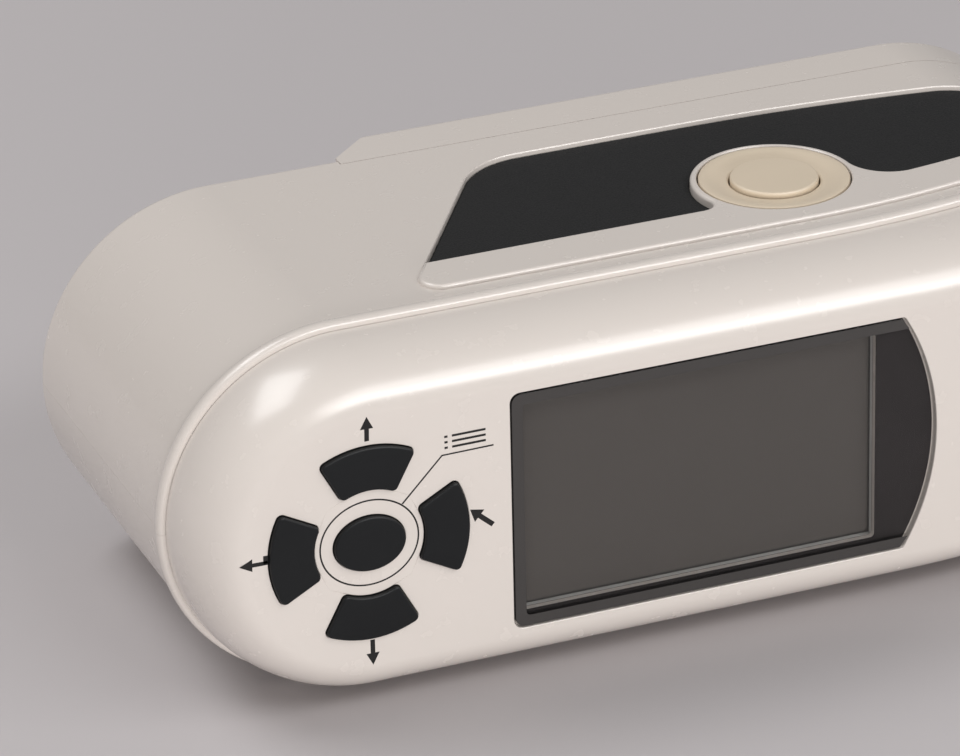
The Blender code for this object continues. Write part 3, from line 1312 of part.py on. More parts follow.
def make_battery_cover():
    """The cover turns on two pins at its round end, next to the ramp."""
    hinge = (HINGE_X, HINGE_DEPTH, 0)
    door = prism("battery_cover", door_outline(0), "Y", DOOR_DEPTH, SHELL_REAR_DEPTH, origin=hinge)
    radius = DOOR_THICKNESS / 2
    left = TRAY_LEFT - DOOR_LIP - OVERRUN
    side = [(left, DOOR_DEPTH - SINK), (HINGE_X, DOOR_DEPTH - SINK)]
    side += arc((HINGE_X, HINGE_DEPTH), radius, -pi / 2, pi / 2, ARC_STEPS // 2)
    side += [(HINGE_X, SHELL_REAR_DEPTH + SINK), (left, SHELL_REAR_DEPTH + SINK)]
    keep_inside(door, prism("door_side", side, "Z", -HINGE_REACH, HINGE_REACH))
    join(door, rod("door_pin", (HINGE_X, HINGE_DEPTH), HINGE_PIN_RADIUS, "Z", -HINGE_REACH, HINGE_REACH))
    notch_x = TRAY_LEFT - DOOR_LIP + THUMB_NOTCH_RADIUS / 2
    cut(door, rod("door_notch", (notch_x, 0), THUMB_NOTCH_RADIUS / 2, "Y",
                  SHELL_REAR_DEPTH - THUMB_NOTCH_DEPTH, SHELL_REAR_DEPTH + OVERRUN, TURN_STEPS))
    smooth(door)
    paint(door, WHITE_PLASTIC)


# Power switch and data socket

def side_board_posts():
    reach = SIDE_BOARD_LENGTH / 2 - SWITCH_POST_MARGIN
    return [(SIDE_BOARD_X - reach, SIDE_BOARD_DEPTH + reach / 2), (SIDE_BOARD_X + reach, SIDE_BOARD_DEPTH - reach)]


def make_power_switch():
    centre = (SLIDER_X, SLIDER_DEPTH)
    travel = SLIDER_TRAVEL / 2
    body = prism("power_switch", centred_rectangle(centre, SLIDE_SWITCH_LENGTH, SLIDE_SWITCH_WIDTH), "Z",
                 -SLIDE_SWITCH_OUT, -SLIDE_SWITCH_OUT + SLIDE_SWITCH_HEIGHT)
    track = prism("slider_track", centred_rectangle(centre, TONGUE_SIZE + SLIDER_TRAVEL + 2 * PIECE_GAP,
                  TONGUE_SIZE + 2 * PIECE_GAP), "Z", -SLIDE_SWITCH_OUT - OVERRUN,
                  -SLIDE_SWITCH_OUT + SLIDE_SWITCH_HEIGHT / 2)
    cut(body, track)
    paint(body, STEEL)
    x = SLIDER_X - travel
    outer = -SIDE_WALL_OUT - SLIDER_PROUD
    knob = prism("power_slider", centred_rectangle((x, SLIDER_DEPTH), SLIDER_LENGTH, SLIDER_WIDTH), "Z",
                 outer, -SIDE_WALL_IN + PIECE_GAP / 2, origin=(x, SLIDER_DEPTH, outer))
    tongue = prism("slider_tongue", centred_rectangle((x, SLIDER_DEPTH), TONGUE_SIZE, TONGUE_SIZE), "Z",
                   -SIDE_WALL_IN - SINK, -SLIDE_SWITCH_OUT + SLIDE_SWITCH_HEIGHT / 2 - PIECE_GAP)
    join(knob, tongue)
    for index in range(3):
        groove_x = x + (index - 1) * SLIDER_LENGTH / 4
        groove = prism("slider_groove_%d" % index, centred_rectangle((groove_x, SLIDER_DEPTH), SLIDER_RIB,
                       SLIDER_WIDTH + OVERRUN), "Z", outer - OVERRUN, outer + SLIDER_RIB)
        cut(knob, groove)
    paint(knob, BLACK_PLASTIC)


def make_data_socket():
    centre = (SOCKET_X, SOCKET_DEPTH)
    inner = -SIDE_BOARD_OUT - PIECE_GAP
    outer = -SIDE_WALL_OUT + PIECE_GAP
    shell = prism("data_socket", centred_rectangle(centre, SOCKET_WIDTH, SOCKET_HEIGHT, SOCKET_CORNER), "Z",
                  outer, inner)
    hollow = prism("socket_hollow", centred_rectangle(centre, SOCKET_WIDTH - 2 * SOCKET_WALL,
                   SOCKET_HEIGHT - 2 * SOCKET_WALL, SOCKET_CORNER - SOCKET_WALL), "Z",
                   outer - OVERRUN, inner - SOCKET_WALL)
    cut(shell, hollow)
    tongue = prism("socket_tongue", centred_rectangle(centre, SOCKET_WIDTH / 2, SOCKET_HEIGHT / 4), "Z",
                   outer + SOCKET_CORNER, inner - SOCKET_WALL / 2)
    join(shell, tongue)
    paint(shell, STEEL)


def make_side_board():
    outline = centred_rectangle((SIDE_BOARD_X, SIDE_BOARD_DEPTH), SIDE_BOARD_LENGTH, SIDE_BOARD_WIDTH, LENS_CORNER)
    board = prism("side_board", outline, "Z", -SIDE_BOARD_OUT, -SIDE_BOARD_OUT + BOARD_THICKNESS)
    paint(board, GREEN_BOARD)


# Screws

def make_screw(name, centre, axis, seat, side):
    """A pan head screw; the head stands on its seat and side points from the seat to the head."""
    head = SCREW_HEAD_HEIGHT
    edge = SCREW_HEAD_RADIUS * HEAD_EDGE_SHARE
    profile = [
        (0, head - SCREW_SLOT_DEPTH),
        (SCREW_SLOT_RADIUS, head - SCREW_SLOT_DEPTH),
        (SCREW_SLOT_RADIUS, head),
        (edge, head),
        (SCREW_HEAD_RADIUS, head * HEAD_EDGE_SHARE / 2),
        (SCREW_HEAD_RADIUS, PIECE_GAP),
        (SCREW_SHANK_RADIUS, PIECE_GAP),
        (SCREW_SHANK_RADIUS, SCREW_SHANK_RADIUS - SCREW_SHANK_LENGTH),
        (0, -SCREW_SHANK_LENGTH),
    ]
    placed = [(radius, seat + height * side) for radius, height in profile]
    screw = turned(name, placed, centre, axis, SMALL_TURN_STEPS)
    smooth(screw)
    paint(screw, STEEL)


def make_screws():
    for index, point in enumerate(CASE_SCREWS):
        make_screw("case_screw_%d" % (index + 1), point, "Z", -CASE_SCREW_HEAD_OUT, -1)
    for index, point in enumerate(BASE_SCREWS):
        make_screw("base_screw_%d" % (index + 1), point, "Y", BASE_SCREW_SEAT, 1)


def main():
    clear_scene()
    make_frame()
    make_front_cover()
    make_display()
    make_keys()
    make_keypad_mat()
    make_main_board()
    make_upper_shell()
    make_lower_shell()
    make_grips()
    make_button()
    make_button_switch()
    make_rear_base()
    make_aperture_ring()
    sphere_half("sphere_rear_half", 1, REAR_PORT_RADIUS, FOOT_RADIUS)
    sphere_half("sphere_front_half", -1, FRONT_PORT_RADIUS, NECK_RADIUS)
    make_lamp_board()
    make_detector()
    make_battery_tray()
    make_battery()
    make_battery_cover()
    make_power_switch()
    make_data_socket()
    make_side_board()
    make_screws()


main()
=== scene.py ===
"""Looks of a hand-held colorimeter that lies on its side.

The frame is in metres. A point of the case is written as (x, depth, out): x from the keypad end,
depth back from the flat face, and out from the middle plane, up through the button side.
"""

import json
from math import asin, atan2, cos, pi, radians, sin, sqrt, tan

import bmesh
import bpy
from bpy.props import FloatProperty, FloatVectorProperty, PointerProperty
from bpy.types import Operator, Panel, PropertyGroup
from mathutils import Matrix, Vector
from mathutils.geometry import tessellate_polygon


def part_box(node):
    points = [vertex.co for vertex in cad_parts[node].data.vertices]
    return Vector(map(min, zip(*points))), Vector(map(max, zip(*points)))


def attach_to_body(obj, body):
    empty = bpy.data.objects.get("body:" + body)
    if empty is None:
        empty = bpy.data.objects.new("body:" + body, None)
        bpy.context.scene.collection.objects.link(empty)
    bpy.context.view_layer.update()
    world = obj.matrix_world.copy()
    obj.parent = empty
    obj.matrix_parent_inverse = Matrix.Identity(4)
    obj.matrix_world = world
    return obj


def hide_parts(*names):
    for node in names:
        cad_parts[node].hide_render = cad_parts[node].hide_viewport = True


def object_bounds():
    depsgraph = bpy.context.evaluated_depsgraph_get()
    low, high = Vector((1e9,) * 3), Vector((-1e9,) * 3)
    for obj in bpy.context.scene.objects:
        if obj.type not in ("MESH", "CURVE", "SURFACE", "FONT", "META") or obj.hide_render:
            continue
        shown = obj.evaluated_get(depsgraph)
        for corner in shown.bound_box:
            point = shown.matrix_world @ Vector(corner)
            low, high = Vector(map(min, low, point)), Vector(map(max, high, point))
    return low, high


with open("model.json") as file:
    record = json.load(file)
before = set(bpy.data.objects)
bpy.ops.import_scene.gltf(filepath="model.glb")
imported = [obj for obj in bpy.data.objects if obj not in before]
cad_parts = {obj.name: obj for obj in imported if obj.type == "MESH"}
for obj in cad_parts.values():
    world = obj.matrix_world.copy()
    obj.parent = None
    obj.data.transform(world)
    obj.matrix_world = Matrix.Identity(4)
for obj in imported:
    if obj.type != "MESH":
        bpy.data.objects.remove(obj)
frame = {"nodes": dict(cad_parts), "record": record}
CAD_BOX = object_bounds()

bl_info = {
    "name": "Colorimeter Looks",
    "version": (1, 0, 0),
    "blender": (4, 5, 0),
    "location": "3D View > Sidebar > Colorimeter",
    "description": "Finished outer pieces, finishes, light and camera of a hand-held colorimeter",
    "category": "Object",
}

# Steps that round stretches are drawn with
ARC_STEPS = 44
SWEEP_STEPS = 36
SHOULDER_STEPS = 30
EDGE_STEPS = 6
CORNER_STEPS = 8
TURN_STEPS = 96
WELD = 0.000001
NEAR = 0.00002
OVERRUN = 0.003
SINK = 0.0006
NOSE_SLICE = 0.0011


def length(name, default, about):
    """A size that can be changed, in metres."""
    return FloatProperty(name=name, description=about, default=default, unit="LENGTH", precision=5)


def turn(name, default, about):
    """An angle that can be changed; the default is given in degrees."""
    return FloatProperty(name=name, description=about, default=radians(default), unit="ROTATION")


def colour(name, default, about):
    return FloatVectorProperty(name=name, description=about, default=default, size=3, subtype="COLOR",
                               min=0.0, max=1.0)


def place_of(node, axis, end):
    """One coordinate of a solid's box: end 0 is its low side and 1 its high side."""
    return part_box(node)[end][axis]


CASE_LENGTH = CAD_BOX[1].x - CAD_BOX[0].x
CASE_WIDTH = place_of("upper_shell", 2, 1)
KEY_TOP = place_of("key_centre", 1, 0)


class CaseSizes(PropertyGroup):
    key_proud: length("Key height", 0.0010, "How far the keys stand out of the face")
    seam_depth: length("Seam depth", 0.0170, "Depth of the joint between front cover and side shells")
    seam_gap: length("Seam gap", 0.00018, "Visible gap between two case pieces")
    parting_gap: length("Parting gap", 0.00003, "Visible gap between the two side shells")
    cover_inset: length("Cover inset", 0.0013, "How far the cover stands inside the bead")
    cover_wall: length("Cover wall", 0.0026, "Wall of the front cover")
    shoulder_width: length("Shoulder width", 0.0088, "Reach of the cover's rounded shoulder")
    edge_round: length("Edge rounding", 0.00016, "Rounding along the moulded edges of openings")
    bead_width: length("Bead width", 0.0030, "Width of the raised bead behind the seam")
    bead_proud: length("Bead height", 0.0008, "How far the bead stands out of the wall")
    shell_wall: length("Shell wall", 0.0041, "Wall of the side shells")
    rear_wall: length("Rear wall", 0.0036, "Rear wall of the side shells")
    rear_depth: length("Rear depth", 0.0845, "Depth of the rear of the side shells")
    rear_round: length("Rear rounding", 0.0020, "Rounding of the rear edge of the side shells")
    rim_start: length("Rim sweep start", 0.1253, "Where the bead starts to fall back")
    rim_radius: length("Rim sweep radius", 0.1800, "Radius on which the bead falls back")
    face_start: length("Face sweep start", 0.1380, "Where the face starts to fall back")
    face_radius: length("Face sweep radius", 0.1250, "Radius on which the face falls back")


class StripSizes(PropertyGroup):
    front: length("Front edge", 0.0236, "Depth of the front edge of the raised strip")
    rear: length("Rear edge", 0.0342, "Depth of the edge that the strip shares with the grip")
    end_round: length("End rounding", 0.0040, "Corner of the strip at the keypad end")
    straight_end: length("Straight end", 0.1860, "Where the strip's closing curve starts")
    tip: length("Tip length", 0.0050, "Length of the strip's closing curve")
    edge_round: length("Edge rounding", 0.0007, "Rounding of the strip's upper edge")
    collar_wall: length("Collar wall", 0.0012, "Wall of the collar round the button")
    front_fillet: length("Front fillet", 0.0028, "Fillet of the collar towards the keypad")
    nose_fillet: length("Nose fillet", 0.0080, "Fillet of the collar towards the measuring end")


class GripSizes(PropertyGroup):
    corner_x: length("Corner place", 0.0567, "Where the grip's sharp corner lies along the case")
    slant: turn("Slant", 57.3, "Lean of the grip's keypad end")
    corner_round: length("Corner rounding", 0.0155, "Round corner at the rear of the keypad end")
    rear: length("Rear edge", 0.0728, "Depth of the grip's rear edge")
    sweep_start: length("Front sweep start", 0.1310, "Where the grip's front edge starts to fall back")
    fall_start: length("Rear sweep start", 0.1210, "Where the grip's rear edge starts to come forward")
    fall_radius: length("Rear sweep radius", 0.3360, "Radius of the grip's rear edge")
    straight_end: length("Straight end", 0.1840, "Where the grip's closing curve starts")
    tip: length("Tip length", 0.0090, "Length of the grip's closing curve")
    sunk: length("Sunk", 0.0008, "How far the grip lies below the wall")
    thickness: length("Thickness", 0.0012, "Thickness of the grip insert")
    gap: length("Edge gap", 0.00012, "Gap between the grip and the edge of its recess")
    edge_round: length("Edge rounding", 0.00025, "Rounding of the grip's edge")


class ButtonSizes(PropertyGroup):
    x: length("Place along the case", 0.1273, "Centre of the button along the case")
    depth: length("Depth", 0.0420, "Centre of the button behind the face")
    ring_radius: length("Ring radius", 0.0137, "Outer radius of the dished ring")
    ring_gap: length("Ring gap", 0.0003, "Gap between ring and collar")
    ring_thickness: length("Ring thickness", 0.0023, "Thickness of the ring")
    dish: length("Dish", 0.0006, "How deep the ring dips towards the cap")
    lip: length("Lip", 0.0012, "Width of the ring's outer edge")
    cap_radius: length("Cap radius", 0.0080, "Radius of the cap that is pressed")
    cap_proud: length("Cap height", 0.0003, "How far the cap stands above the collar")
    cap_edge: length("Cap edge", 0.0008, "Rounding of the cap")
    cap_gap: length("Cap gap", 0.0003, "Gap between cap and ring")


class DisplaySizes(PropertyGroup):
    left: length("Left edge", 0.0588, "Keypad end of the glass")
    straight_end: length("Straight end", 0.1332, "Where the curved end of the glass starts")
    tip: length("Tip", 0.1395, "Middle of the curved end of the glass")
    width: length("Width", 0.0450, "Width of the glass")
    corner: length("Corner", 0.0018, "Corner radius of the glass")
    thickness: length("Thickness", 0.0014, "Thickness of the glass")
    side_gap: length("Side gap", 0.0002, "Gap round the glass")
    rim_width: length("Rim width", 0.0021, "Width of the ground rim along the straight edges")
    rim_drop: length("Rim drop", 0.00012, "How far the ground rim falls")
    window_left: length("Window left", 0.0611, "Keypad end of the window")
    window_right: length("Window right", 0.1283, "Measuring end of the window")
    window_half: length("Window half width", 0.0200, "Half the width of the window")
    window_corner: length("Window corner", 0.0008, "Corner radius of the window")
    panel_depth: length("Panel depth", 0.0038, "Depth of the front of the display panel")


class KeypadSizes(PropertyGroup):
    x: length("Place along the case", 0.0322, "Centre of the keypad along the case")
    inner: length("Inner radius", 0.0102, "Inner radius of the four outer keys")
    outer: length("Outer radius", 0.0183, "Outer radius of the four outer keys")
    half_angle: turn("Half angle", 28.3, "Half of the angle that an outer key covers")
    corner: length("Corner", 0.0009, "Corner radius of the outer keys")
    hole_gap: length("Hole gap", 0.00016, "Gap between a key and its hole")
    edge_round: length("Edge rounding", 0.0004, "Rounding of a key's top edge")
    crown: length("Crown", 0.00012, "How far the middle of a key rises")
    centre_length: length("Centre key length", 0.0130, "Long axis of the oval key")
    centre_width: length("Centre key width", 0.0102, "Short axis of the oval key")
    ring_length: length("Printed ring length", 0.0180, "Long axis of the printed ring")
    ring_width: length("Printed ring width", 0.0161, "Short axis of the printed ring")
    line: length("Printed line", 0.00030, "Width of the printed lines")
    ink: length("Ink", 0.00002, "Thickness of the printed marks")


class RearSizes(PropertyGroup):
    left: length("Platform start", 0.0590, "Keypad end of the rear platform")
    seam_depth: length("Seam depth", 0.0816, "Depth of the platform's joint")
    rear_depth: length("Rear depth", 0.0933, "Depth of the platform's rear face")
    ramp: length("Ramp length", 0.0096, "Length of the ramp at the keypad end")
    ramp_round: length("Ramp rounding", 0.0040, "Rounding at the top of the ramp")
    edge_round: length("Edge rounding", 0.0022, "Rounding of the platform's edge")
    ring_radius: length("Aperture ring radius", 0.0190, "Radius of the black measuring ring")
    ring_proud: length("Aperture ring height", 0.0005, "How far the ring stands out")
    aperture: length("Aperture radius", 0.0040, "Radius of the measuring aperture")
    door_left: length("Battery cover start", 0.0113, "Free end of the battery cover")
    door_right: length("Battery cover end", 0.0568, "Hinged end of the battery cover")
    door_half: length("Battery cover half width", 0.0182, "Half the width of the battery cover")
    door_corner: length("Battery cover corner", 0.0040, "Corner radius of the battery cover")
    door_thickness: length("Battery cover thickness", 0.0022, "Thickness of the battery cover")
    door_gap: length("Battery cover gap", 0.0003, "Gap round the battery cover")
    door_lip: length("Battery cover lip", 0.0009, "Width of the ledge that the battery cover rests on")
    pin_radius: length("Hinge pin radius", 0.0006, "Radius of the battery cover's pins")
    pin_length: length("Hinge pin length", 0.0008, "Length of each pin of the battery cover")


class FinishColours(PropertyGroup):
    case_white: colour("Case white", (0.712, 0.652, 0.603), "Warm white of the case")
    button_cream: colour("Button cream", (0.71, 0.60, 0.46), "Cream of the button and its ring")
    grip_black: colour("Grip black", (0.0125, 0.0125, 0.0130), "Matt black of the grips")
    key_black: colour("Key black", (0.0085, 0.0092, 0.0100), "Black of the keys")
    ink_black: colour("Ink black", (0.018, 0.017, 0.017), "Black of the printed marks")
    panel_grey: colour("Panel grey", (0.118, 0.106, 0.098), "Grey of the display while it is off")
    floor_grey: colour("Floor grey", (0.575, 0.545, 0.552), "Grey of the ground")


class StageSettings(PropertyGroup):
    azimuth: turn("Azimuth", -21.419, "Camera's direction round the object")
    elevation: turn("Elevation", 25.769, "Camera's height as an angle")
    roll: turn("Roll", -1.354, "Camera's roll")
    place: FloatVectorProperty(name="Camera place", description="Where the camera stands", size=3,
                               default=(-0.38371, -0.89892, 0.50291), subtype="TRANSLATION", unit="LENGTH")
    lens: FloatProperty(name="Lens", description="Focal length in millimetres", default=224.27)
    key_power: FloatProperty(name="Key light", description="Power of the high light, in watts", default=4.0)
    streak_power: FloatProperty(name="Streak light", description="Power of the light for highlights, in watts",
                                default=15.0)
    fill_power: FloatProperty(name="Fill light", description="Power of the low light, in watts", default=22.5)
    rear_power: FloatProperty(name="Rear light", description="Power of the light behind, in watts", default=9.0)
    ambient: FloatProperty(name="Ambient", description="Strength of the surroundings", default=0.31)


# Reading the sizes

def sizes(name):
    return getattr(bpy.context.scene, "colorimeter_" + name)


def face_place():
    """The frame's Y of the flat face."""
    return KEY_TOP + sizes("case").key_proud


def to_frame(point):
    """The frame's coordinates of a point (x, depth, out) of the case."""
    x, depth, out = point
    return (CAD_BOX[0].x + x, face_place() + depth, radius_of_case() + out)


def radius_of_case():
    return CASE_WIDTH / 2


def nose_x():
    return CASE_LENGTH - radius_of_case()


# Making meshes

def mesh_piece(name, points, faces):
    """A new object from points of the case, with its faces pointing out."""
    mesh = bpy.data.meshes.new(name)
    mesh.from_pydata([to_frame(point) for point in points], [], faces)
    shape = bmesh.new()
    shape.from_mesh(mesh)
    bmesh.ops.remove_doubles(shape, verts=shape.verts, dist=WELD)
    bmesh.ops.recalc_face_normals(shape, faces=shape.faces)
    shape.to_mesh(mesh)
    shape.free()
    piece = bpy.data.objects.new(name, mesh)
    bpy.context.scene.collection.objects.link(piece)
    return piece


def ring_faces(levels, count, closed):
    """Quads between neighbouring rings; closed also joins the last ring to the first."""
    faces = []
    for level in range(levels if closed else levels - 1):
        low = level * count
        high = (level + 1) % levels * count
        for index in range(count):
            after = (index + 1) % count
            faces.append((low + index, low + after, high + after, high + index))
    return faces


def loft(name, rings, closed=False, strips=False):
    """Bridge rings of equal counts. Strips close an end between the mirrored sides of a ring."""
    count = len(rings[0])
    faces = ring_faces(len(rings), count, closed)
    if not closed:
        for first in (0, (len(rings) - 1) * count):
            faces.extend(end_faces(first, count, strips))
    return mesh_piece(name, [point for ring in rings for point in ring], faces)


def end_faces(first, count, strips):
    if not strips:
        return [tuple(first + index for index in range(count))]
    faces = []
    for index in range(count // 2):
        quad = [index, index + 1, (count - index - 1) % count, (count - index) % count]
        faces.append(tuple(first + corner for corner in dict.fromkeys(quad)))
    return faces


def settled(piece):
    """Replace a piece's mesh by the result of its modifiers."""
    graph = bpy.context.evaluated_depsgraph_get()
    mesh = bpy.data.meshes.new_from_object(piece.evaluated_get(graph))
    piece.modifiers.clear()
    before = piece.data
    piece.data = mesh
    bpy.data.meshes.remove(before)
    return piece


def combine(piece, tool, operation):
    change = piece.modifiers.new("change", "BOOLEAN")
    change.solver = "EXACT"
    change.operation = operation
    change.object = tool
    settled(piece)
    bpy.data.objects.remove(tool)
    return piece


def cut(piece, tool):
    return combine(piece, tool, "DIFFERENCE")


def join(piece, tool):
    return combine(piece, tool, "UNION")


def keep_inside(piece, tool):
    return combine(piece, tool, "INTERSECT")


def soften(piece, width, angle=50, segments=3):
    """Round the sharp edges of a piece."""
    bevel = piece.modifiers.new("soft edges", "BEVEL")
    bevel.limit_method = "ANGLE"
    bevel.angle_limit = radians(angle)
    bevel.width = width
    bevel.segments = segments
    bevel.use_clamp_overlap = False
    bevel.miter_outer = "MITER_ARC"
    return settled(piece)


def finish(piece, material, body, nodes, angle=32):
    """Shade a finished piece, give it its material and tie it to the frame."""
    piece.data.materials.clear()
    piece.data.materials.append(material)
    shade(piece, angle)
    attach(piece, body, nodes)
    return piece


def shade(piece, angle=32):
    piece.data.shade_smooth()
    piece.data.set_sharp_from_angle(angle=radians(angle))
    weighted = piece.modifiers.new("weighted normals", "WEIGHTED_NORMAL")
    weighted.keep_sharp = True
    weighted.weight = 90


def attach(piece, body, nodes):
    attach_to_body(piece, body)
    if nodes:
        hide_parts(*nodes)


# Outlines

def unit(vector):
    size = sqrt(vector[0] ** 2 + vector[1] ** 2)
    return (vector[0] / size, vector[1] / size)


def clean(outline):
    """Drop points that lie on the one before them."""
    kept = []
    for point in outline:
        if not kept or apart(point, kept[-1]):
            kept.append(point)
    if not apart(kept[0], kept[-1]):
        kept.pop()
    return kept


def apart(first, second):
    return abs(first[0] - second[0]) + abs(first[1] - second[1]) > NEAR


def offset(outline, distance):
    """Move every side of a closed outline out by a distance, with mitred corners."""
    count = len(outline)
    area = sum(outline[i][0] * outline[(i + 1) % count][1] - outline[(i + 1) % count][0] * outline[i][1]
               for i in range(count))
    side = 1 if area > 0 else -1
    moved = []
    for index, here in enumerate(outline):
        before = outline[index - 1]
        after = outline[(index + 1) % count]
        arriving = unit((here[0] - before[0], here[1] - before[1]))
        leaving = unit((after[0] - here[0], after[1] - here[1]))
        first = (arriving[1] * side, -arriving[0] * side)
        second = (leaving[1] * side, -leaving[0] * side)
        share = distance / (1 + first[0] * second[0] + first[1] * second[1])
        moved.append((here[0] + (first[0] + second[0]) * share, here[1] + (first[1] + second[1]) * share))
    return moved


def rounded(corners, steps=CORNER_STEPS):
    """Replace each corner (x, y, radius) of an outline by an arc of that radius."""
    outline = []
    for index, (x, y, radius) in enumerate(corners):
        if radius == 0:
            outline.append((x, y))
            continue
        before = corners[index - 1]
        after = corners[(index + 1) % len(corners)]
        outline.extend(corner_arc((x, y), before, after, radius, steps))
    return clean(outline)


def corner_arc(corner, before, after, radius, steps):
    x, y = corner
    angle_in = atan2(before[1] - y, before[0] - x)
    angle_out = atan2(after[1] - y, after[0] - x)
    swing = (angle_out - angle_in + pi) % (2 * pi) - pi
    reach = radius / abs(sin(swing / 2))
    centre = (x + reach * cos(angle_in + swing / 2), y + reach * sin(angle_in + swing / 2))
    side = 1 if swing > 0 else -1
    start = angle_in - side * pi / 2
    return arc(centre, radius, start, start - side * (pi - abs(swing)), steps)


def arc(centre, radius, start, end, steps):
    points = []
    for step in range(steps + 1):
        angle = start + (end - start) * step / steps
        points.append((centre[0] + radius * cos(angle), centre[1] + radius * sin(angle)))
    return points


def rectangle(left, right, low, high, radius=0.0):
    return rounded([(left, low, radius), (right, low, radius), (right, high, radius), (left, high, radius)])


def circle(centre, radius, steps=TURN_STEPS):
    return arc(centre, radius, 0, 2 * pi * (steps - 1) / steps, steps - 1)


def oval(centre, long_axis, short_axis, steps=TURN_STEPS):
    swing = 2 * pi / steps
    return [(centre[0] + long_axis / 2 * cos(swing * i), centre[1] + short_axis / 2 * sin(swing * i))
            for i in range(steps)]


def edge_levels(radius, low, high, steps=EDGE_STEPS):
    """Levels (grow, height) of a plate from its foot to its rounded upper edge."""
    levels = [(0, low)]
    for step in range(steps + 1):
        angle = pi / 2 * step / steps
        levels.append((-radius * (1 - cos(angle)), high - radius * (1 - sin(angle))))
    return levels


def face_plate(name, outline, levels):
    """A plate parallel to the face; a level's height counts back from the face."""
    return loft(name, [[(x, depth, out) for x, out in offset(outline, grow)] for grow, depth in levels])


def eased(flare, floor):
    """Levels of a cutter that leaves a small rounding where it meets the face."""
    return [(2 * flare, -flare), (0.35 * flare, 0.35 * flare), (0, flare), (0, floor)]


def turned(name, profile, place, closed=False):
    """Turn a profile of (radius, height) round an axis; place puts a flat point at a height."""
    rings = [[place(point, height) for point in circle((0, 0), radius)] for radius, height in profile]
    return loft(name, rings, closed=closed)


# Curves of the case

def fall(x, start, radius):
    """How far an edge has swept back at x along an arc that starts at a given place."""
    run = min(max(0, x - start), radius)
    return radius - sqrt(radius ** 2 - run ** 2)


def rim_sweep(x):
    return fall(x, sizes("case").rim_start, sizes("case").rim_radius)


def case_half(inset):
    """Upper half of the case outline seen from the front, from keypad tip to nose tip."""
    outer = radius_of_case()
    radius = outer - inset
    start = sizes("case").rim_start
    points = []
    for step in range(ARC_STEPS + 1):
        angle = pi / 2 * step / ARC_STEPS
        points.append((outer - radius * cos(angle), radius * sin(angle)))
    for step in range(SWEEP_STEPS):
        points.append((start + (nose_x() - start) * step / SWEEP_STEPS, radius))
    for step in range(ARC_STEPS + 1):
        angle = pi / 2 * step / ARC_STEPS
        points.append((nose_x() + radius * sin(angle), radius * cos(angle)))
    return points


def case_ring(inset, depth, rim_share=0.0, face_share=0.0):
    """A ring of the case at a depth, swept back by shares of the rim and face sweeps."""
    case = sizes("case")
    upper = case_half(inset)
    ring = []
    for x, out in upper + [(x, -out) for x, out in reversed(upper[1:-1])]:
        back = rim_share * rim_sweep(x) + face_share * fall(x, case.face_start, case.face_radius)
        ring.append((x, depth + back, out))
    return ring


# Front cover

def cover_side(wall, steps):
    """Rings from the seam, over the shoulder, to the flat face."""
    case = sizes("case")
    reach = case.shoulder_width - wall
    rise = case.seam_depth - case.seam_gap / 2 - wall
    rings = []
    for step in range(steps + 1):
        angle = pi / 2 * step / steps
        inset = case.cover_inset + case.shoulder_width - reach * cos(angle)
        rings.append(case_ring(inset, wall + rise * (1 - sin(angle)), 1 - sin(angle), sin(angle)))
    return rings


def key_angles():
    return {"key_right": 0.0, "key_top": pi / 2, "key_left": pi, "key_bottom": -pi / 2}


def key_outline(name, grow=0.0):
    """A key seen from the front, grown on every side: a part of a ring, or an oval."""
    pad = sizes("keypad")
    if name == "key_centre":
        return oval((pad.x, 0), pad.centre_length + 2 * grow, pad.centre_width + 2 * grow)
    angle = key_angles()[name]
    round_corner = max(pad.corner + grow, pad.corner / 3)
    corners = []
    for radius, way in ((pad.outer + grow, 1), (pad.inner - grow, -1)):
        half = pad.half_angle + asin(grow / radius)
        for step in range(-CORNER_STEPS, CORNER_STEPS + 1):
            swing = angle + way * half * step / CORNER_STEPS
            corner = round_corner if abs(step) == CORNER_STEPS else 0
            corners.append((pad.x + radius * cos(swing), radius * sin(swing), corner))
    return rounded(corners, EDGE_STEPS)


def lens_outline(grow=0.0, band=0.0):
    """The glass: square corners at the keypad end and a shallow arc at the other."""
    lens = sizes("display")
    half = lens.width / 2
    rise = lens.tip - lens.straight_end
    radius = (half ** 2 + rise ** 2) / (2 * rise)
    centre = lens.tip - radius
    reach = half + grow - band
    left = lens.left - grow + band
    corner = max(lens.corner - band / 2, lens.corner / 3)
    limit = asin(reach / (radius + grow))
    corners = [(left, reach, corner), (left, -reach, corner)]
    for step in range(-ARC_STEPS // 2, ARC_STEPS // 2 + 1):
        swing = limit * step / (ARC_STEPS // 2)
        last = abs(step) == ARC_STEPS // 2
        corners.append((centre + (radius + grow) * cos(swing), (radius + grow) * sin(swing),
                        corner / 2 if last else 0))
    return rounded(corners, EDGE_STEPS)


def window_outline(grow=0.0):
    view = sizes("display")
    return rectangle(view.window_left - grow, view.window_right + grow,
                     -view.window_half - grow, view.window_half + grow, view.window_corner + grow)


def build_cover():
    case = sizes("case")
    outer = cover_side(0, SHOULDER_STEPS)
    inner = cover_side(case.cover_wall, SHOULDER_STEPS // 4)
    cover = loft("front_cover_shell", outer[::-1] + inner, strips=True)
    view = sizes("display")
    seat = view.thickness + view.side_gap
    bottom = case.cover_wall + OVERRUN
    cut(cover, face_plate("lens_seat", lens_outline(view.side_gap), eased(case.edge_round, seat)))
    cut(cover, face_plate("window_hole", window_outline(), [(0, -OVERRUN), (0, bottom)]))
    for name in (*key_angles(), "key_centre"):
        hole = key_outline(name, sizes("keypad").hole_gap)
        cut(cover, face_plate(name + "_hole", hole, eased(case.edge_round, bottom)))
    return finish(cover, finishes()["case_white"], "case", ["front_cover"])


# Keypad

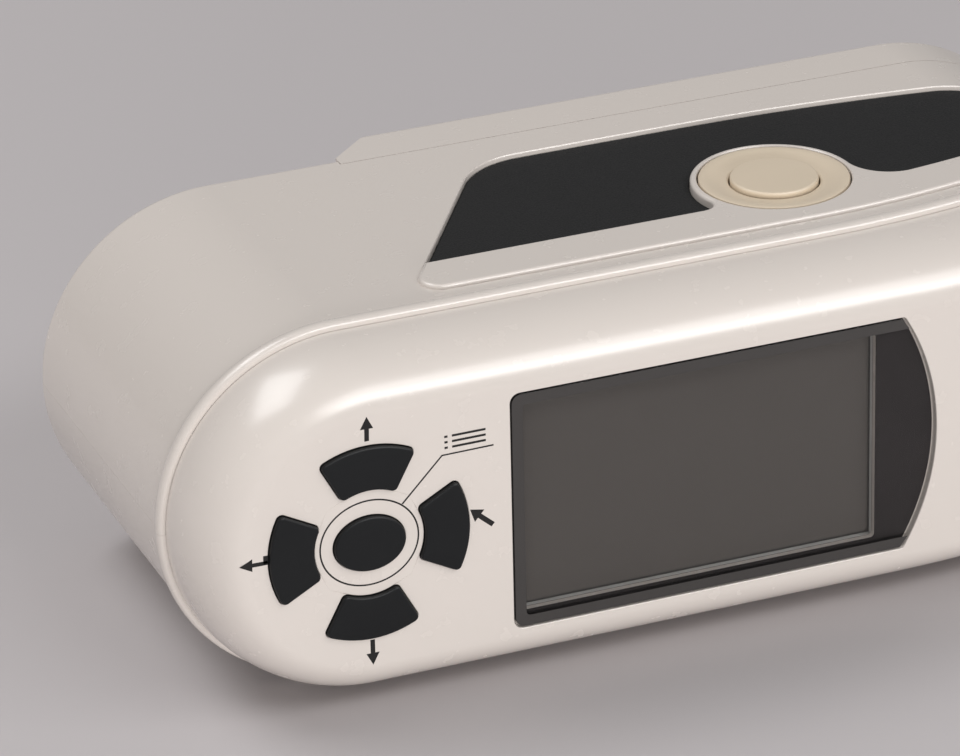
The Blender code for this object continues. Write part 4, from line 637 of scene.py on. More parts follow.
def build_key(name):
    """A rubber key with a soft edge and a slightly raised middle."""
    pad = sizes("keypad")
    case = sizes("case")
    levels = edge_levels(pad.edge_round, -case.cover_wall, case.key_proud - pad.crown)
    for share in (0.3, 0.6, 1.0):
        inset = pad.edge_round + (pad.outer - pad.inner) * 0.3 * share
        levels.append((-inset, case.key_proud - pad.crown * (1 - sin(pi / 2 * share))))
    rings = [[(x, -height, out) for x, out in key_outline(name, grow)] for grow, height in levels]
    key = loft(name + "_pad", rings)
    return finish(key, finishes()["key_black"], name, [name])


# Printed marks round the keypad

def stroke(points, width):
    """Outline of a line of one width through points."""
    left = []
    right = []
    for index, here in enumerate(points):
        before = points[max(index - 1, 0)]
        after = points[min(index + 1, len(points) - 1)]
        along = unit((after[0] - before[0], after[1] - before[1]))
        left.append((here[0] - along[1] * width / 2, here[1] + along[0] * width / 2))
        right.append((here[0] + along[1] * width / 2, here[1] - along[0] * width / 2))
    return left + right[::-1]


def arrow(tip, tail, shaft, head_length, head_width):
    """Outline of an arrow from its tail to its tip."""
    along = unit((tip[0] - tail[0], tip[1] - tail[1]))
    across = (-along[1], along[0])
    neck = (tip[0] - along[0] * head_length, tip[1] - along[1] * head_length)
    sides = [(tail, shaft), (neck, shaft), (neck, head_width), (tip, 0)]
    points = [(p[0] + across[0] * w / 2, p[1] + across[1] * w / 2) for p, w in sides]
    points += [(p[0] - across[0] * w / 2, p[1] - across[1] * w / 2) for p, w in sides[-2::-1]]
    return points


def mark_outlines():
    """Arrows, the leader line and a plain list sign, in x and out of the face."""
    x = sizes("keypad").x
    line = sizes("keypad").line
    shaft = 0.00085
    head = 0.0023
    marks = [
        arrow((x + 0.0002, 0.0239), (x + 0.0001, 0.0193), shaft, head, 0.0024),
        arrow((x, -0.0237), (x, -0.0188), shaft, head, 0.0024),
        arrow((0.0086, 0.0002), (0.0137, 0.0001), shaft * 0.9, head, 0.0024),
        [(0.0129, 0.0000), (0.0138, 0.0000), (0.0138, 0.0015), (0.0129, 0.0015)],
        arrow((0.0508, 0.0024), (0.0550, -0.0013), shaft * 1.1, head, 0.0027),
        stroke([(0.0384, 0.0061), (0.0459, 0.0138), (0.0554, 0.0139)], line),
    ]
    for row in range(3):
        out = 0.0149 + row * 0.00105
        marks.append([(0.0478, out), (0.0540, out), (0.0540, out + 0.00042), (0.0478, out + 0.00042)])
        marks.append([(0.0464, out), (0.0470, out), (0.0470, out + 0.00042), (0.0464, out + 0.00042)])
    return marks


def build_marks():
    """All printed marks as one thin skin of ink on the face."""
    pad = sizes("keypad")
    points = []
    faces = []
    for outline in mark_outlines():
        add_prism(points, faces, outline, -pad.ink, pad.ink)
    ring_long, ring_short = pad.ring_length / 2, pad.ring_width / 2
    rings = []
    for grow, depth in ((0, pad.ink), (0, -pad.ink), (pad.line, -pad.ink), (pad.line, pad.ink)):
        rings.append([(x, depth, out) for x, out in
                      oval((pad.x, 0), (ring_long + grow) * 2 - pad.line, (ring_short + grow) * 2 - pad.line)])
    first = len(points)
    points += [point for ring in rings for point in ring]
    faces += [tuple(first + corner for corner in face) for face in ring_faces(4, TURN_STEPS, True)]
    marks = mesh_piece("keypad_marks", points, faces)
    return finish(marks, finishes()["ink_black"], "case", [])


def add_prism(points, faces, outline, low, high):
    first = len(points)
    count = len(outline)
    points += [(x, low, out) for x, out in outline] + [(x, high, out) for x, out in outline]
    faces.append(tuple(first + index for index in range(count)))
    faces.append(tuple(first + count + index for index in range(count)))
    faces += [tuple(first + corner for corner in face) for face in ring_faces(2, count, False)]


# Display

def build_lens():
    """Tinted glass whose straight edges carry a shallow ground rim."""
    view = sizes("display")
    back = view.thickness
    front = 0.0
    small = view.rim_drop
    rings = []
    for grow, band, depth in ((0, 0, back), (0, 0, front + small * 2), (0, small, front + small),
                              (0, view.rim_width, front), (0, view.rim_width * 1.2, front)):
        rings.append([(x, depth, out) for x, out in lens_outline(grow, band)])
    lens = loft("display_glass", rings)
    lens.data.materials.append(finishes()["display_glass"])
    lens.data.materials.append(finishes()["glass_rim"])
    count = len(rings[0])
    curved = to_frame((view.straight_end, 0, 0))[0]
    for face in lens.data.polygons:
        depths = [lens.data.vertices[i].co.y - face_place() for i in face.vertices]
        slanted = max(depths) <= small * 1.01 and max(depths) - min(depths) > small * 0.4
        if len(face.vertices) < count and slanted and face.center.x < curved:
            face.material_index = 1
    shade(lens, 20)
    attach(lens, "case", ["display_lens"])
    return lens


def build_lens_print():
    """The black print on the back of the glass, open at the window."""
    view = sizes("display")
    low = view.thickness
    sheet = face_plate("glass_print", lens_outline(-view.side_gap / 2),
                       [(0, low + view.side_gap / 4), (0, low + view.side_gap / 2)])
    cut(sheet, face_plate("print_window", window_outline(), [(0, low - OVERRUN), (0, low + OVERRUN)]))
    return finish(sheet, finishes()["print_black"], "case", [])


def build_panel():
    """The display panel with its slightly lighter picture area."""
    view = sizes("display")
    margin = 0.0022
    left, right = view.window_left - margin, view.window_right + margin
    half = view.window_half + margin
    panel = face_plate("display_panel", rectangle(left, right, -half, half, view.window_corner),
                       [(0, view.panel_depth + 0.0034), (0, view.panel_depth + 0.00008),
                        (-0.00008, view.panel_depth)])
    finish(panel, finishes()["panel_edge"], "case", ["lcd_panel"])
    inset = 0.0004
    film = face_plate("display_film", rectangle(view.window_left + inset, view.window_right - inset,
                                                -view.window_half + inset, view.window_half - inset,
                                                view.window_corner),
                      [(0, view.panel_depth), (0, view.panel_depth - 0.00006), (-0.00004, view.panel_depth - 0.0001)])
    finish(film, finishes()["panel_grey"], "case", [])


def build_gasket():
    """The foam frame between cover and panel, whose cut edge shows unevenly in the window. Its cut faces turned up
    and towards the keypad end are painted pale as a painted lit side; the other faces keep the black.
    """
    view = sizes("display")
    case = sizes("case")
    width = 0.0022
    outer = window_outline(width)
    inner = []
    steps = 120
    left, right, half = view.window_left, view.window_right, view.window_half
    sag = 0.00030
    for step in range(steps + 1):
        share = step / steps
        wave = 0.5 + 0.5 * sin(17.0 * share + 1.2) * sin(5.0 * share + 0.4)
        inner.append((left + (right - left) * share, half - sag * (0.4 + 1.6 * wave * (1 - share) ** 0.5)))
    inner += [(right, -half), (left, -half)]
    front = case.cover_wall + view.side_gap / 2
    gasket = face_plate("display_foam", outer, [(0, front), (0, view.panel_depth - view.side_gap / 2)])
    hole = [(x, out) for x, out in inner]
    cut(gasket, face_plate("foam_hole", hole, [(0, front - OVERRUN), (0, front + OVERRUN)]))
    finish(gasket, finishes()["foam_black"], "case", ["display_gasket"])
    # Pale finish only on the cut faces turned up and towards the keypad end: painted light on the lit sides of the
    # black foam. The faces turned down keep the foam's black.
    gasket.data.materials.append(finishes()["foam_painted_lit_side"])
    for face in gasket.data.polygons:
        if face.normal.z > 0.5 or face.normal.x < -0.5:
            face.material_index = 1
    return gasket


# Side of the case: raised strip, collar and grip, in x and depth

def slant_point(depth):
    """Where the slanted line along the grip's keypad end crosses a depth."""
    return sizes("grip").corner_x + (depth - sizes("strip").rear) / tan(sizes("grip").slant)


def strip_front(x):
    return sizes("strip").front + rim_sweep(x)


def strip_rear(x):
    return sizes("strip").rear + fall(x, sizes("grip").sweep_start, sizes("case").rim_radius)


def grip_rear(x):
    grip = sizes("grip")
    return grip.rear - fall(x, grip.fall_start, grip.fall_radius)


def collar_radius():
    button = sizes("button")
    return button.ring_radius + button.ring_gap + sizes("strip").collar_wall


def fillet_centre(radius, side):
    """Centre of the fillet between the strip and the collar, on one side of the button."""
    button = sizes("button")
    x = button.x
    depth = strip_rear(x) + radius
    for _ in range(ARC_STEPS):
        depth = strip_rear(x) + radius
        x = button.x + side * sqrt((collar_radius() + radius) ** 2 - (depth - button.depth) ** 2)
    return x, depth


def collar_edge():
    """The edge that the strip shares with the grip round the button, keypad side first."""
    strip = sizes("strip")
    button = sizes("button")
    near = fillet_centre(strip.front_fillet, -1)
    far = fillet_centre(strip.nose_fillet, 1)
    start = atan2(near[1] - button.depth, near[0] - button.x) % (2 * pi)
    end = atan2(far[1] - button.depth, far[0] - button.x)
    points = arc(near, strip.front_fillet, -pi / 2, start - pi, CORNER_STEPS)
    points += arc((button.x, button.depth), collar_radius(), start, end, TURN_STEPS // 2)
    points += arc(far, strip.nose_fillet, pi + end, 3 * pi / 2, CORNER_STEPS * 2)
    return points


def curve_points(edge, left, right, steps):
    points = []
    for step in range(steps + 1):
        x = left + (right - left) * step / steps
        points.append((x, edge(x)))
    return points


def band_tip(front, rear, x, reach):
    """A half ellipse that closes a band at its measuring end."""
    middle = (front + rear) / 2
    half = (rear - front) / 2
    points = []
    for step in range(1, ARC_STEPS // 2):
        angle = -pi / 2 + pi * step / (ARC_STEPS // 2)
        points.append((x + reach * cos(angle), middle + half * sin(angle)))
    return points


def strip_outline(collar):
    """The raised strip, with the button's collar on the upper side."""
    strip = sizes("strip")
    grip = sizes("grip")
    start = sizes("case").rim_start
    run = strip.end_round / tan(grip.slant / 2)
    centre = (slant_point(strip.front) + run, strip.front + strip.end_round)
    points = arc(centre, strip.end_round, pi / 2 + grip.slant, 3 * pi / 2, CORNER_STEPS * 2)
    end = strip.straight_end
    points += curve_points(strip_front, start, end, SWEEP_STEPS)
    points += band_tip(strip_front(end), strip_rear(end), end, strip.tip)
    if collar:
        far = fillet_centre(strip.nose_fillet, 1)
        points += curve_points(strip_rear, end, far[0], SWEEP_STEPS)
        points += collar_edge()[::-1]
    else:
        points += curve_points(strip_rear, end, grip.sweep_start, SWEEP_STEPS)
    points.append((grip.corner_x, strip.rear))
    return clean(points)


def grip_outline(collar):
    """The recess of the grip, seen from the side."""
    grip = sizes("grip")
    end = grip.straight_end
    points = [(grip.corner_x, sizes("strip").rear)]
    if collar:
        points += collar_edge()
        start = points[-1][0]
    else:
        start = grip.sweep_start
    points += curve_points(strip_rear, start, end, SWEEP_STEPS)
    points += band_tip(strip_rear(end), grip_rear(end), end, grip.tip)
    points += curve_points(grip_rear, end, grip.fall_start, SWEEP_STEPS)
    depth = grip.rear - grip.corner_round
    centre = (slant_point(depth) + grip.corner_round / sin(grip.slant), depth)
    points += arc(centre, grip.corner_round, pi / 2, pi / 2 + grip.slant, CORNER_STEPS * 2)
    return clean(points)


def side_plate(name, outline, levels, side):
    """A plate of levels (grow, height) on the side of the case, bent round the nose.

    Heights count from the widest surface of the case; side is 1 above and -1 below.
    """
    count = len(outline)
    shape = bmesh.new()
    rings = []
    for grow, height in levels:
        rings.append([shape.verts.new((x, depth, height)) for x, depth in offset(outline, grow)])
    for first, second in zip(rings, rings[1:]):
        for index in range(count):
            after = (index + 1) % count
            shape.faces.new((first[index], first[after], second[after], second[index]))
    for ring in (rings[0], rings[-1]):
        for corners in tessellate_polygon([[vert.co for vert in ring]]):
            shape.faces.new([ring[corner] for corner in corners])
    slice_nose(shape)
    for vert in shape.verts:
        vert.co = to_frame(bent(vert.co, side))
    bmesh.ops.recalc_face_normals(shape, faces=shape.faces)
    mesh = bpy.data.meshes.new(name)
    shape.to_mesh(mesh)
    shape.free()
    piece = bpy.data.objects.new(name, mesh)
    bpy.context.scene.collection.objects.link(piece)
    return piece


def slice_nose(shape):
    """Cut a flat layout across, so that it can bend round the nose."""
    last = max(vert.co.x for vert in shape.verts)
    x = nose_x()
    while x < last:
        everything = shape.verts[:] + shape.edges[:] + shape.faces[:]
        bmesh.ops.bisect_plane(shape, geom=everything, dist=WELD, plane_co=(x, 0, 0), plane_no=(1, 0, 0))
        x += NOSE_SLICE


def bent(point, side):
    x, depth, height = point
    radius = radius_of_case() + height
    run = max(0.0, x - nose_x())
    return (x, depth, side * sqrt(max(radius ** 2 - run ** 2, 0.0)))


# Side shells

def shell_rings():
    """The case wall behind the seam: outer skin from the rear, then inner skin from the front."""
    case = sizes("case")
    outer = []
    for step in range(CORNER_STEPS + 1):
        angle = pi / 2 * step / CORNER_STEPS
        inset = case.bead_proud + case.rear_round * (1 - sin(angle))
        outer.append(case_ring(inset, case.rear_depth - case.rear_round * (1 - cos(angle))))
    front = case.seam_depth + case.seam_gap / 2
    for step in range(2 * CORNER_STEPS + 1):
        angle = pi / 2 - pi * step / (2 * CORNER_STEPS)
        inset = case.bead_proud * (1 - cos(angle))
        outer.append(case_ring(inset, front + case.bead_width / 2 * (1 + sin(angle)), 1.0))
    inset = case.bead_proud + case.shell_wall
    return outer + [case_ring(inset, front, 1.0), case_ring(inset, case.rear_depth - case.rear_wall)]


def box_tool(name, left, right, front, rear, low, high):
    outline = [(left, front), (right, front), (right, rear), (left, rear)]
    return loft(name, [[(x, depth, out) for x, depth in outline] for out in (low, high)])


def build_shell(name, side):
    case = sizes("case")
    grip = sizes("grip")
    rear = sizes("rear")
    collar = side > 0
    shell = loft(name + "_wall", shell_rings(), strips=True)
    reach = radius_of_case() + OVERRUN
    gap = case.parting_gap / 2 * side
    cut(shell, box_tool("other_half", -OVERRUN, CASE_LENGTH + OVERRUN, 0, rear.rear_depth, gap, -reach * side))
    cut(shell, box_tool("platform_space", rear.left, CASE_LENGTH + OVERRUN, rear.seam_depth,
                        rear.rear_depth, -reach, reach))
    floor = -case.bead_proud - grip.sunk - grip.thickness - grip.gap
    outline = grip_outline(collar)
    flare = case.edge_round * 2
    top = -case.bead_proud
    levels = [(0, floor), (0, top - flare), (0.35 * flare, top - 0.35 * flare), (2 * flare, top + flare)]
    cut(shell, side_plate("grip_recess", outline, levels, side))
    strip = side_plate("raised_strip", strip_outline(collar),
                       edge_levels(sizes("strip").edge_round, floor - SINK, 0), side)
    join(shell, strip)
    cut_door_seat(shell)
    return shell


def on_button(side=1):
    """Puts a flat point of the button's turned pieces at a height above the collar."""
    button = sizes("button")
    def place(point, height):
        return (button.x + point[0], button.depth + point[1], side * (radius_of_case() + height))
    return place


def build_upper_shell():
    shell = build_shell("upper_shell", 1)
    button = sizes("button")
    bore = button.ring_radius + button.ring_gap
    seat = -button.ring_thickness - button.ring_gap
    cut(shell, turned("ring_seat", [(0, seat * 3), (bore - button.lip, seat * 3), (bore - button.lip, seat),
                                    (bore, seat), (bore, -0.0002), (bore + 0.0002, 0), (bore + 0.0002, OVERRUN),
                                    (0, OVERRUN)], on_button()))
    return finish(shell, finishes()["case_white"], "case", ["upper_shell"])


def build_lower_shell():
    shell = build_shell("lower_shell", -1)
    for node in ("power_slider", "data_socket"):
        low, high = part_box(node)
        cut(shell, opening_round(node, low, high))
    return finish(shell, finishes()["case_white"], "case", ["lower_shell"])


def opening_round(node, low, high):
    """A cutter that clears a solid in the lower side, with room for its travel."""
    gap = 0.00025
    travel = 0.0030 if node == "power_slider" else 0.0
    left = low.x - CAD_BOX[0].x - gap
    right = high.x - CAD_BOX[0].x + gap + travel
    zero = face_place()
    front, rear = low.y - zero - gap, high.y - zero + gap
    outline = rectangle(left, right, front, rear, 0.0008)
    reach = radius_of_case()
    return loft(node + "_opening", [[(x, depth, out) for x, depth in outline]
                                    for out in (-reach - OVERRUN, -reach + 0.0075)])


def build_grip(name, side):
    case = sizes("case")
    grip = sizes("grip")
    outline = offset(grip_outline(side > 0), -grip.gap)
    top = -case.bead_proud - grip.sunk
    plate = side_plate(name + "_pad", outline, edge_levels(grip.edge_round, top - grip.thickness, top), side)
    return finish(plate, finishes()["grip_black"], "case", [name])


# Trigger button

def build_button():
    button = sizes("button")
    bottom = -button.ring_thickness
    lip = button.lip
    bore = button.cap_radius + button.cap_gap
    profile = [(button.ring_radius, bottom), (button.ring_radius, -0.0003),
               (button.ring_radius - 0.0001, -0.0001), (button.ring_radius - 0.0003, 0)]
    steps = 10
    for step in range(steps + 1):
        share = step / steps
        radius = button.ring_radius - lip * 0.6 - (button.ring_radius - lip * 0.6 - bore - lip * 0.5) * share
        profile.append((radius, -button.dish * (0.5 - 0.5 * cos(pi * share))))
    profile += [(bore + lip * 0.2, -button.dish - 0.00004), (bore, -button.dish - 0.0002), (bore, bottom)]
    ring = turned("button_dish", profile, on_button(), closed=True)
    finish(ring, finishes()["button_cream"], "case", ["button_ring"])
    profile = [(0, bottom), (button.cap_radius, bottom)]
    profile += [(button.cap_radius + grow, height) for grow, height in
                edge_levels(button.cap_edge * 0.6, bottom, button.cap_proud)[1:]]
    profile += [(0, button.cap_proud)]
    cap = turned("trigger_cap", profile, on_button())
    finish(cap, finishes()["button_cream"], "trigger", ["measure_button"])


# Rear platform, aperture ring and battery cover

def build_platform():
    case = sizes("case")
    rear = sizes("rear")
    inset = case.bead_proud
    front = rear.seam_depth + case.seam_gap
    rings = [case_ring(inset, front)]
    for step in range(CORNER_STEPS + 1):
        angle = pi / 2 * step / CORNER_STEPS
        rings.append(case_ring(inset + rear.edge_round * (1 - cos(angle)),
                               rear.rear_depth - rear.edge_round * (1 - sin(angle))))
    base = loft("rear_platform", rings, strips=True)
    keep_inside(base, ramp_block(front))
    centre = (nose_x(), 0)
    through = [(0, front - OVERRUN), (0, rear.rear_depth + OVERRUN)]
    cut(base, face_plate("aperture_seat", circle(centre, rear.ring_radius + case.seam_gap), through))
    for x, out in screw_places():
        cut(base, face_plate("screw_well", circle((x, out), 0.0029, TURN_STEPS // 3),
                             [(0, rear.rear_depth - 0.0048), (0, rear.rear_depth + OVERRUN)]))
    return finish(base, finishes()["case_white"], "case", ["rear_base"])


def ramp_block(front):
    """Side view of the platform, with the ramp at the keypad end, across the whole case."""
    case = sizes("case")
    rear = sizes("rear")
    left = rear.left + case.seam_gap
    top = left + rear.ramp
    corners = [(left, front - OVERRUN, 0), (left, case.rear_depth, 0), (top, rear.rear_depth, rear.ramp_round),
               (nose_x(), rear.rear_depth, 0), (nose_x(), rear.rear_depth + OVERRUN, 0),
               (CASE_LENGTH + OVERRUN, rear.rear_depth + OVERRUN, 0), (CASE_LENGTH + OVERRUN, front - OVERRUN, 0)]
    outline = rounded(corners)
    reach = radius_of_case() + OVERRUN
    return loft("ramp_block", [[(x, depth, out) for x, depth in outline] for out in (-reach, reach)])


def build_aperture():
    rear = sizes("rear")
    back = rear.rear_depth + rear.ring_proud
    steep = 0.0005
    profile = [(0.0210, back - 0.0045), (0.0210, back - 0.0031), (rear.ring_radius, back - 0.0030),
               (rear.ring_radius, back - steep), (rear.ring_radius - steep * 0.3, back - steep * 0.2),
               (rear.ring_radius - steep, back), (0.0125, back), (0.0122, back - 0.0002), (0.0118, back - 0.0002),
               (0.0115, back), (rear.aperture + steep / 2, back), (rear.aperture, back - steep / 2),
               (0.0062, back - 0.0045)]
    def place(point, height):
        return (nose_x() + point[0], height, point[1])
    ring = turned("measuring_ring", profile, place, closed=True)
    return finish(ring, finishes()["plastic_black"], "case", ["aperture_ring"])


def screw_places():
    """Centres of the four screws in the platform, read from the frame."""
    places = []
    for index in range(1, 5):
        low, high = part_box("base_screw_%d" % index)
        places.append(((low.x + high.x) / 2 - CAD_BOX[0].x, (low.z + high.z) / 2 - radius_of_case()))
    return places


def door_outline(grow):
    """The battery cover's edge: round corners at its free end and square ones at the hinge."""
    rear = sizes("rear")
    left = rear.door_left - grow
    right = rear.door_right + grow
    out = rear.door_half + grow
    return rounded([(left, -out, rear.door_corner), (right, -out, 0), (right, out, 0), (left, out, rear.door_corner)])


def hinge_rod(name, radius, reach):
    """A rod on the line that the battery cover turns on."""
    rear = sizes("rear")
    turn = rear.door_thickness / 2
    outline = circle((rear.door_right - turn, sizes("case").rear_depth - turn), radius, 32)
    return loft(name, [[(x, depth, out) for x, depth in outline] for out in (-reach, reach)])


def build_door():
    """The battery cover, with a round hinge end, two pins and a thumb notch at the free end."""
    rear = sizes("rear")
    back = sizes("case").rear_depth
    turn = rear.door_thickness / 2
    levels = [(0, back - rear.door_thickness)]
    levels += [(grow, height) for grow, height in edge_levels(0.0003, back - rear.door_thickness, back)[1:]]
    outline = [(min(x, rear.door_right - 0.75 * turn), out) for x, out in door_outline(0)]
    door = face_plate("battery_door", outline, levels)
    join(door, hinge_rod("door_edge", turn, rear.door_half))
    join(door, hinge_rod("door_pins", rear.pin_radius, rear.door_half + rear.pin_length))
    notch = [(x, back - 0.0008, out) for x, out in circle((rear.door_left + 0.0048, 0), 0.0046)]
    top = [(x, back + 0.0002, out) for x, out in circle((rear.door_left + 0.0048, 0), 0.0056)]
    cut(door, loft("thumb_notch", [notch, top]))
    return finish(door, finishes()["case_white"], "battery_cover", ["battery_cover"])


def cut_door_seat(shell):
    """The seat of the battery cover, the holes for its pins and the opening to the tray."""
    rear = sizes("rear")
    back = sizes("case").rear_depth
    seat = face_plate("door_seat", door_outline(rear.door_gap), [(0, back - rear.door_thickness - rear.door_gap),
                                                                 (0, back + OVERRUN)])
    cut(shell, seat)
    cut(shell, hinge_rod("pin_holes", rear.pin_radius + rear.door_gap, rear.door_half + rear.pin_length + rear.door_gap))
    lip = rear.door_lip
    outline = rectangle(rear.door_left + lip, rear.door_right + rear.door_gap, lip - rear.door_half,
                        rear.door_half - lip, rear.door_corner)
    cut(shell, face_plate("tray_opening", outline, [(0, back - sizes("case").rear_wall - OVERRUN), (0, back)]))


# Screws and slider ribs from geometry nodes

def socket(tree, name, kind, default=None):
    made = tree.interface.new_socket(name=name, in_out="INPUT", socket_type=kind)
    if default is not None:
        made.default_value = default
    return made.identifier


def start_tree(name):
    tree = bpy.data.node_groups.new(name, "GeometryNodeTree")
    tree.interface.new_socket(name="Geometry", in_out="OUTPUT", socket_type="NodeSocketGeometry")
    return tree


def end_tree(tree, instances, material_socket, entry):
    """Turn instances into a mesh and give it its material."""
    made_real = tree.nodes.new("GeometryNodeRealizeInstances")
    painted = tree.nodes.new("GeometryNodeSetMaterial")
    leave = tree.nodes.new("NodeGroupOutput")
    tree.links.new(instances, made_real.inputs[0])
    tree.links.new(made_real.outputs[0], painted.inputs["Geometry"])
    tree.links.new(entry.outputs[material_socket], painted.inputs["Material"])
    tree.links.new(painted.outputs[0], leave.inputs[0])


def repeat_tree(name):
    """A tree that puts a copy of a form on every point of the piece's own mesh."""
    tree = start_tree(name)
    tree.interface.new_socket(name="Places", in_out="INPUT", socket_type="NodeSocketGeometry")
    ids = {"form": socket(tree, "Form", "NodeSocketObject"),
           "scale": socket(tree, "Scale", "NodeSocketFloat", 1.0),
           "material": socket(tree, "Material", "NodeSocketMaterial")}
    entry = tree.nodes.new("NodeGroupInput")
    form = tree.nodes.new("GeometryNodeObjectInfo")
    copies = tree.nodes.new("GeometryNodeInstanceOnPoints")
    tree.links.new(entry.outputs["Form"], form.inputs["Object"])
    tree.links.new(entry.outputs["Places"], copies.inputs["Points"])
    tree.links.new(form.outputs["Geometry"], copies.inputs["Instance"])
    tree.links.new(entry.outputs["Scale"], copies.inputs["Scale"])
    end_tree(tree, copies.outputs[0], "Material", entry)
    return tree, ids


def repeated(name, form, places, material):
    """One mesh with a copy of a form at every place, made by geometry nodes."""
    tree, ids = repeat_tree(name + "_tree")
    mesh = bpy.data.meshes.new(name)
    mesh.from_pydata([to_frame(place) for place in places], [], [])
    piece = bpy.data.objects.new(name, mesh)
    bpy.context.scene.collection.objects.link(piece)
    change = piece.modifiers.new("copies", "NODES")
    change.node_group = tree
    change[ids["form"]] = form
    change[ids["scale"]] = 1.0
    change[ids["material"]] = material
    settled(piece)
    bpy.data.objects.remove(form)
    return piece


def centred(piece, point):
    """Move a form's mesh so that a point of the case comes to the origin."""
    piece.data.transform(Matrix.Translation(-Vector(to_frame(point))))
    return piece


def build_screws():
    """Pan heads with a cross recess, in the wells of the platform."""
    rear = sizes("rear")
    seat = rear.rear_depth - 0.0048
    profile = [(0, seat), (0.0026, seat + 0.0001), (0.0026, seat + 0.0007), (0.0024, seat + 0.0012),
               (0.0019, seat + 0.0016), (0.0012, seat + 0.00175), (0, seat + 0.0018)]
    def place(point, height):
        return (point[0], height, point[1])
    head = turned("screw_head", profile, place)
    arm, reach = 0.00032, 0.0014
    for half_x, half_out in ((reach, arm), (arm, reach)):
        outline = [(-half_x, -half_out), (half_x, -half_out), (half_x, half_out), (-half_x, half_out)]
        cut(head, face_plate("recess", outline, [(0, seat + 0.0010), (0, seat + 0.0030)]))
    centred(head, (0, 0, 0))
    screws = repeated("platform_screws", head, [(x, 0, out) for x, out in screw_places()], finishes()["steel"])
    shade(screws)
    attach(screws, "case", ["base_screw_%d" % index for index in range(1, 5)])
    return screws


def build_slider():
    """The power slider: a rounded tab with five ribs across it."""
    low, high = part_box("power_slider")
    zero = face_place()
    left, right = low.x - CAD_BOX[0].x, high.x - CAD_BOX[0].x
    front, back = low.y - zero, high.y - zero
    out = low.z - radius_of_case()
    outline = rectangle(left, right, front, back, 0.0007)
    rings = []
    for grow, height in ((0, 0.0045), (0, 0.00055), (-0.0001, 0.00035)):
        rings.append([(x, depth, out + height) for x, depth in offset(outline, grow)])
    tab = loft("slider_tab", rings)
    finish(tab, finishes()["plastic_black"], "power_slider", ["power_slider"])
    middle, half = (front + back) / 2, (back - front) / 2 - 0.0004
    wave = arc((0, 0), 0.0003, 0, pi, 8)
    rib = loft("rib_form", [[(x, depth, out + 0.00036 - rise) for x, rise in wave] for depth in (-half, half)])
    centred(rib, (0, 0, 0))
    places = [(left + (right - left) * (index + 1) / 6, middle, 0) for index in range(5)]
    ribs = repeated("slider_ribs", rib, places, finishes()["plastic_black"])
    shade(ribs)
    attach(ribs, "power_slider", [])


# Finishes

def nodes_of(name):
    material = bpy.data.materials.new(name)
    material.use_nodes = True
    tree = material.node_tree
    return material, tree, tree.nodes["Principled BSDF"]


def noise(tree, scale, detail=2.0, roughness=0.5):
    """Noise on object coordinates; scale is in waves a metre."""
    where = tree.nodes.new("ShaderNodeTexCoord")
    made = tree.nodes.new("ShaderNodeTexNoise")
    made.inputs["Scale"].default_value = scale
    made.inputs["Detail"].default_value = detail
    made.inputs["Roughness"].default_value = roughness
    tree.links.new(where.outputs["Object"], made.inputs["Vector"])
    return made


def spread(tree, source, low, high):
    """Map a 0 to 1 pattern to a range."""
    change = tree.nodes.new("ShaderNodeMapRange")
    change.inputs["To Min"].default_value = low
    change.inputs["To Max"].default_value = high
    tree.links.new(source, change.inputs["Value"])
    return change.outputs["Result"]


def mottled(tree, shader, paint, scale, amount):
    """Vary the colour by a share of itself."""
    pattern = noise(tree, scale, 3.0)
    blend = tree.nodes.new("ShaderNodeMix")
    blend.data_type = "RGBA"
    blend.inputs["A"].default_value = (*[c * (1 - amount) for c in paint], 1.0)
    blend.inputs["B"].default_value = (*[min(c * (1 + amount), 1.0) for c in paint], 1.0)
    tree.links.new(pattern.outputs[0], blend.inputs["Factor"])
    tree.links.new(blend.outputs["Result"], shader.inputs["Base Color"])


def bumped(tree, shader, source, height):
    bump = tree.nodes.new("ShaderNodeBump")
    bump.inputs["Distance"].default_value = height
    bump.inputs["Strength"].default_value = 1.0
    tree.links.new(source, bump.inputs["Height"])
    tree.links.new(bump.outputs["Normal"], shader.inputs["Normal"])


def moulding(name, paint, roughness, grain_scale, grain_height, mottle=0.02, specular=0.5, coat=0.0):
    """A moulded surface: faint mottling, uneven gloss and a fine grain."""
    material, tree, shader = nodes_of(name)
    mottled(tree, shader, paint, 90.0, mottle)
    uneven = noise(tree, 240.0, 3.0)
    tree.links.new(spread(tree, uneven.outputs[0], roughness * 0.95, roughness * 1.05), shader.inputs["Roughness"])
    grain = noise(tree, grain_scale, 4.0, 0.6)
    bumped(tree, shader, grain.outputs[0], grain_height)
    shader.inputs["Specular IOR Level"].default_value = specular
    shader.inputs["Coat Weight"].default_value = coat
    shader.inputs["Coat Roughness"].default_value = 0.17
    return material


def grained_rubber(name, paint):
    """Matt rubber with closely set pits, as on a moulded hand grip."""
    material, tree, shader = nodes_of(name)
    mottled(tree, shader, paint, 400.0, 0.12)
    where = tree.nodes.new("ShaderNodeTexCoord")
    cells = tree.nodes.new("ShaderNodeTexVoronoi")
    cells.inputs["Scale"].default_value = 2600.0
    tree.links.new(where.outputs["Object"], cells.inputs["Vector"])
    fine = noise(tree, 5200.0, 3.0)
    total = tree.nodes.new("ShaderNodeMath")
    total.operation = "ADD"
    tree.links.new(cells.outputs["Distance"], total.inputs[0])
    tree.links.new(fine.outputs[0], total.inputs[1])
    bumped(tree, shader, total.outputs[0], 0.00005)
    tree.links.new(spread(tree, cells.outputs["Distance"], 0.62, 0.86), shader.inputs["Roughness"])
    shader.inputs["Specular IOR Level"].default_value = 0.22
    return material


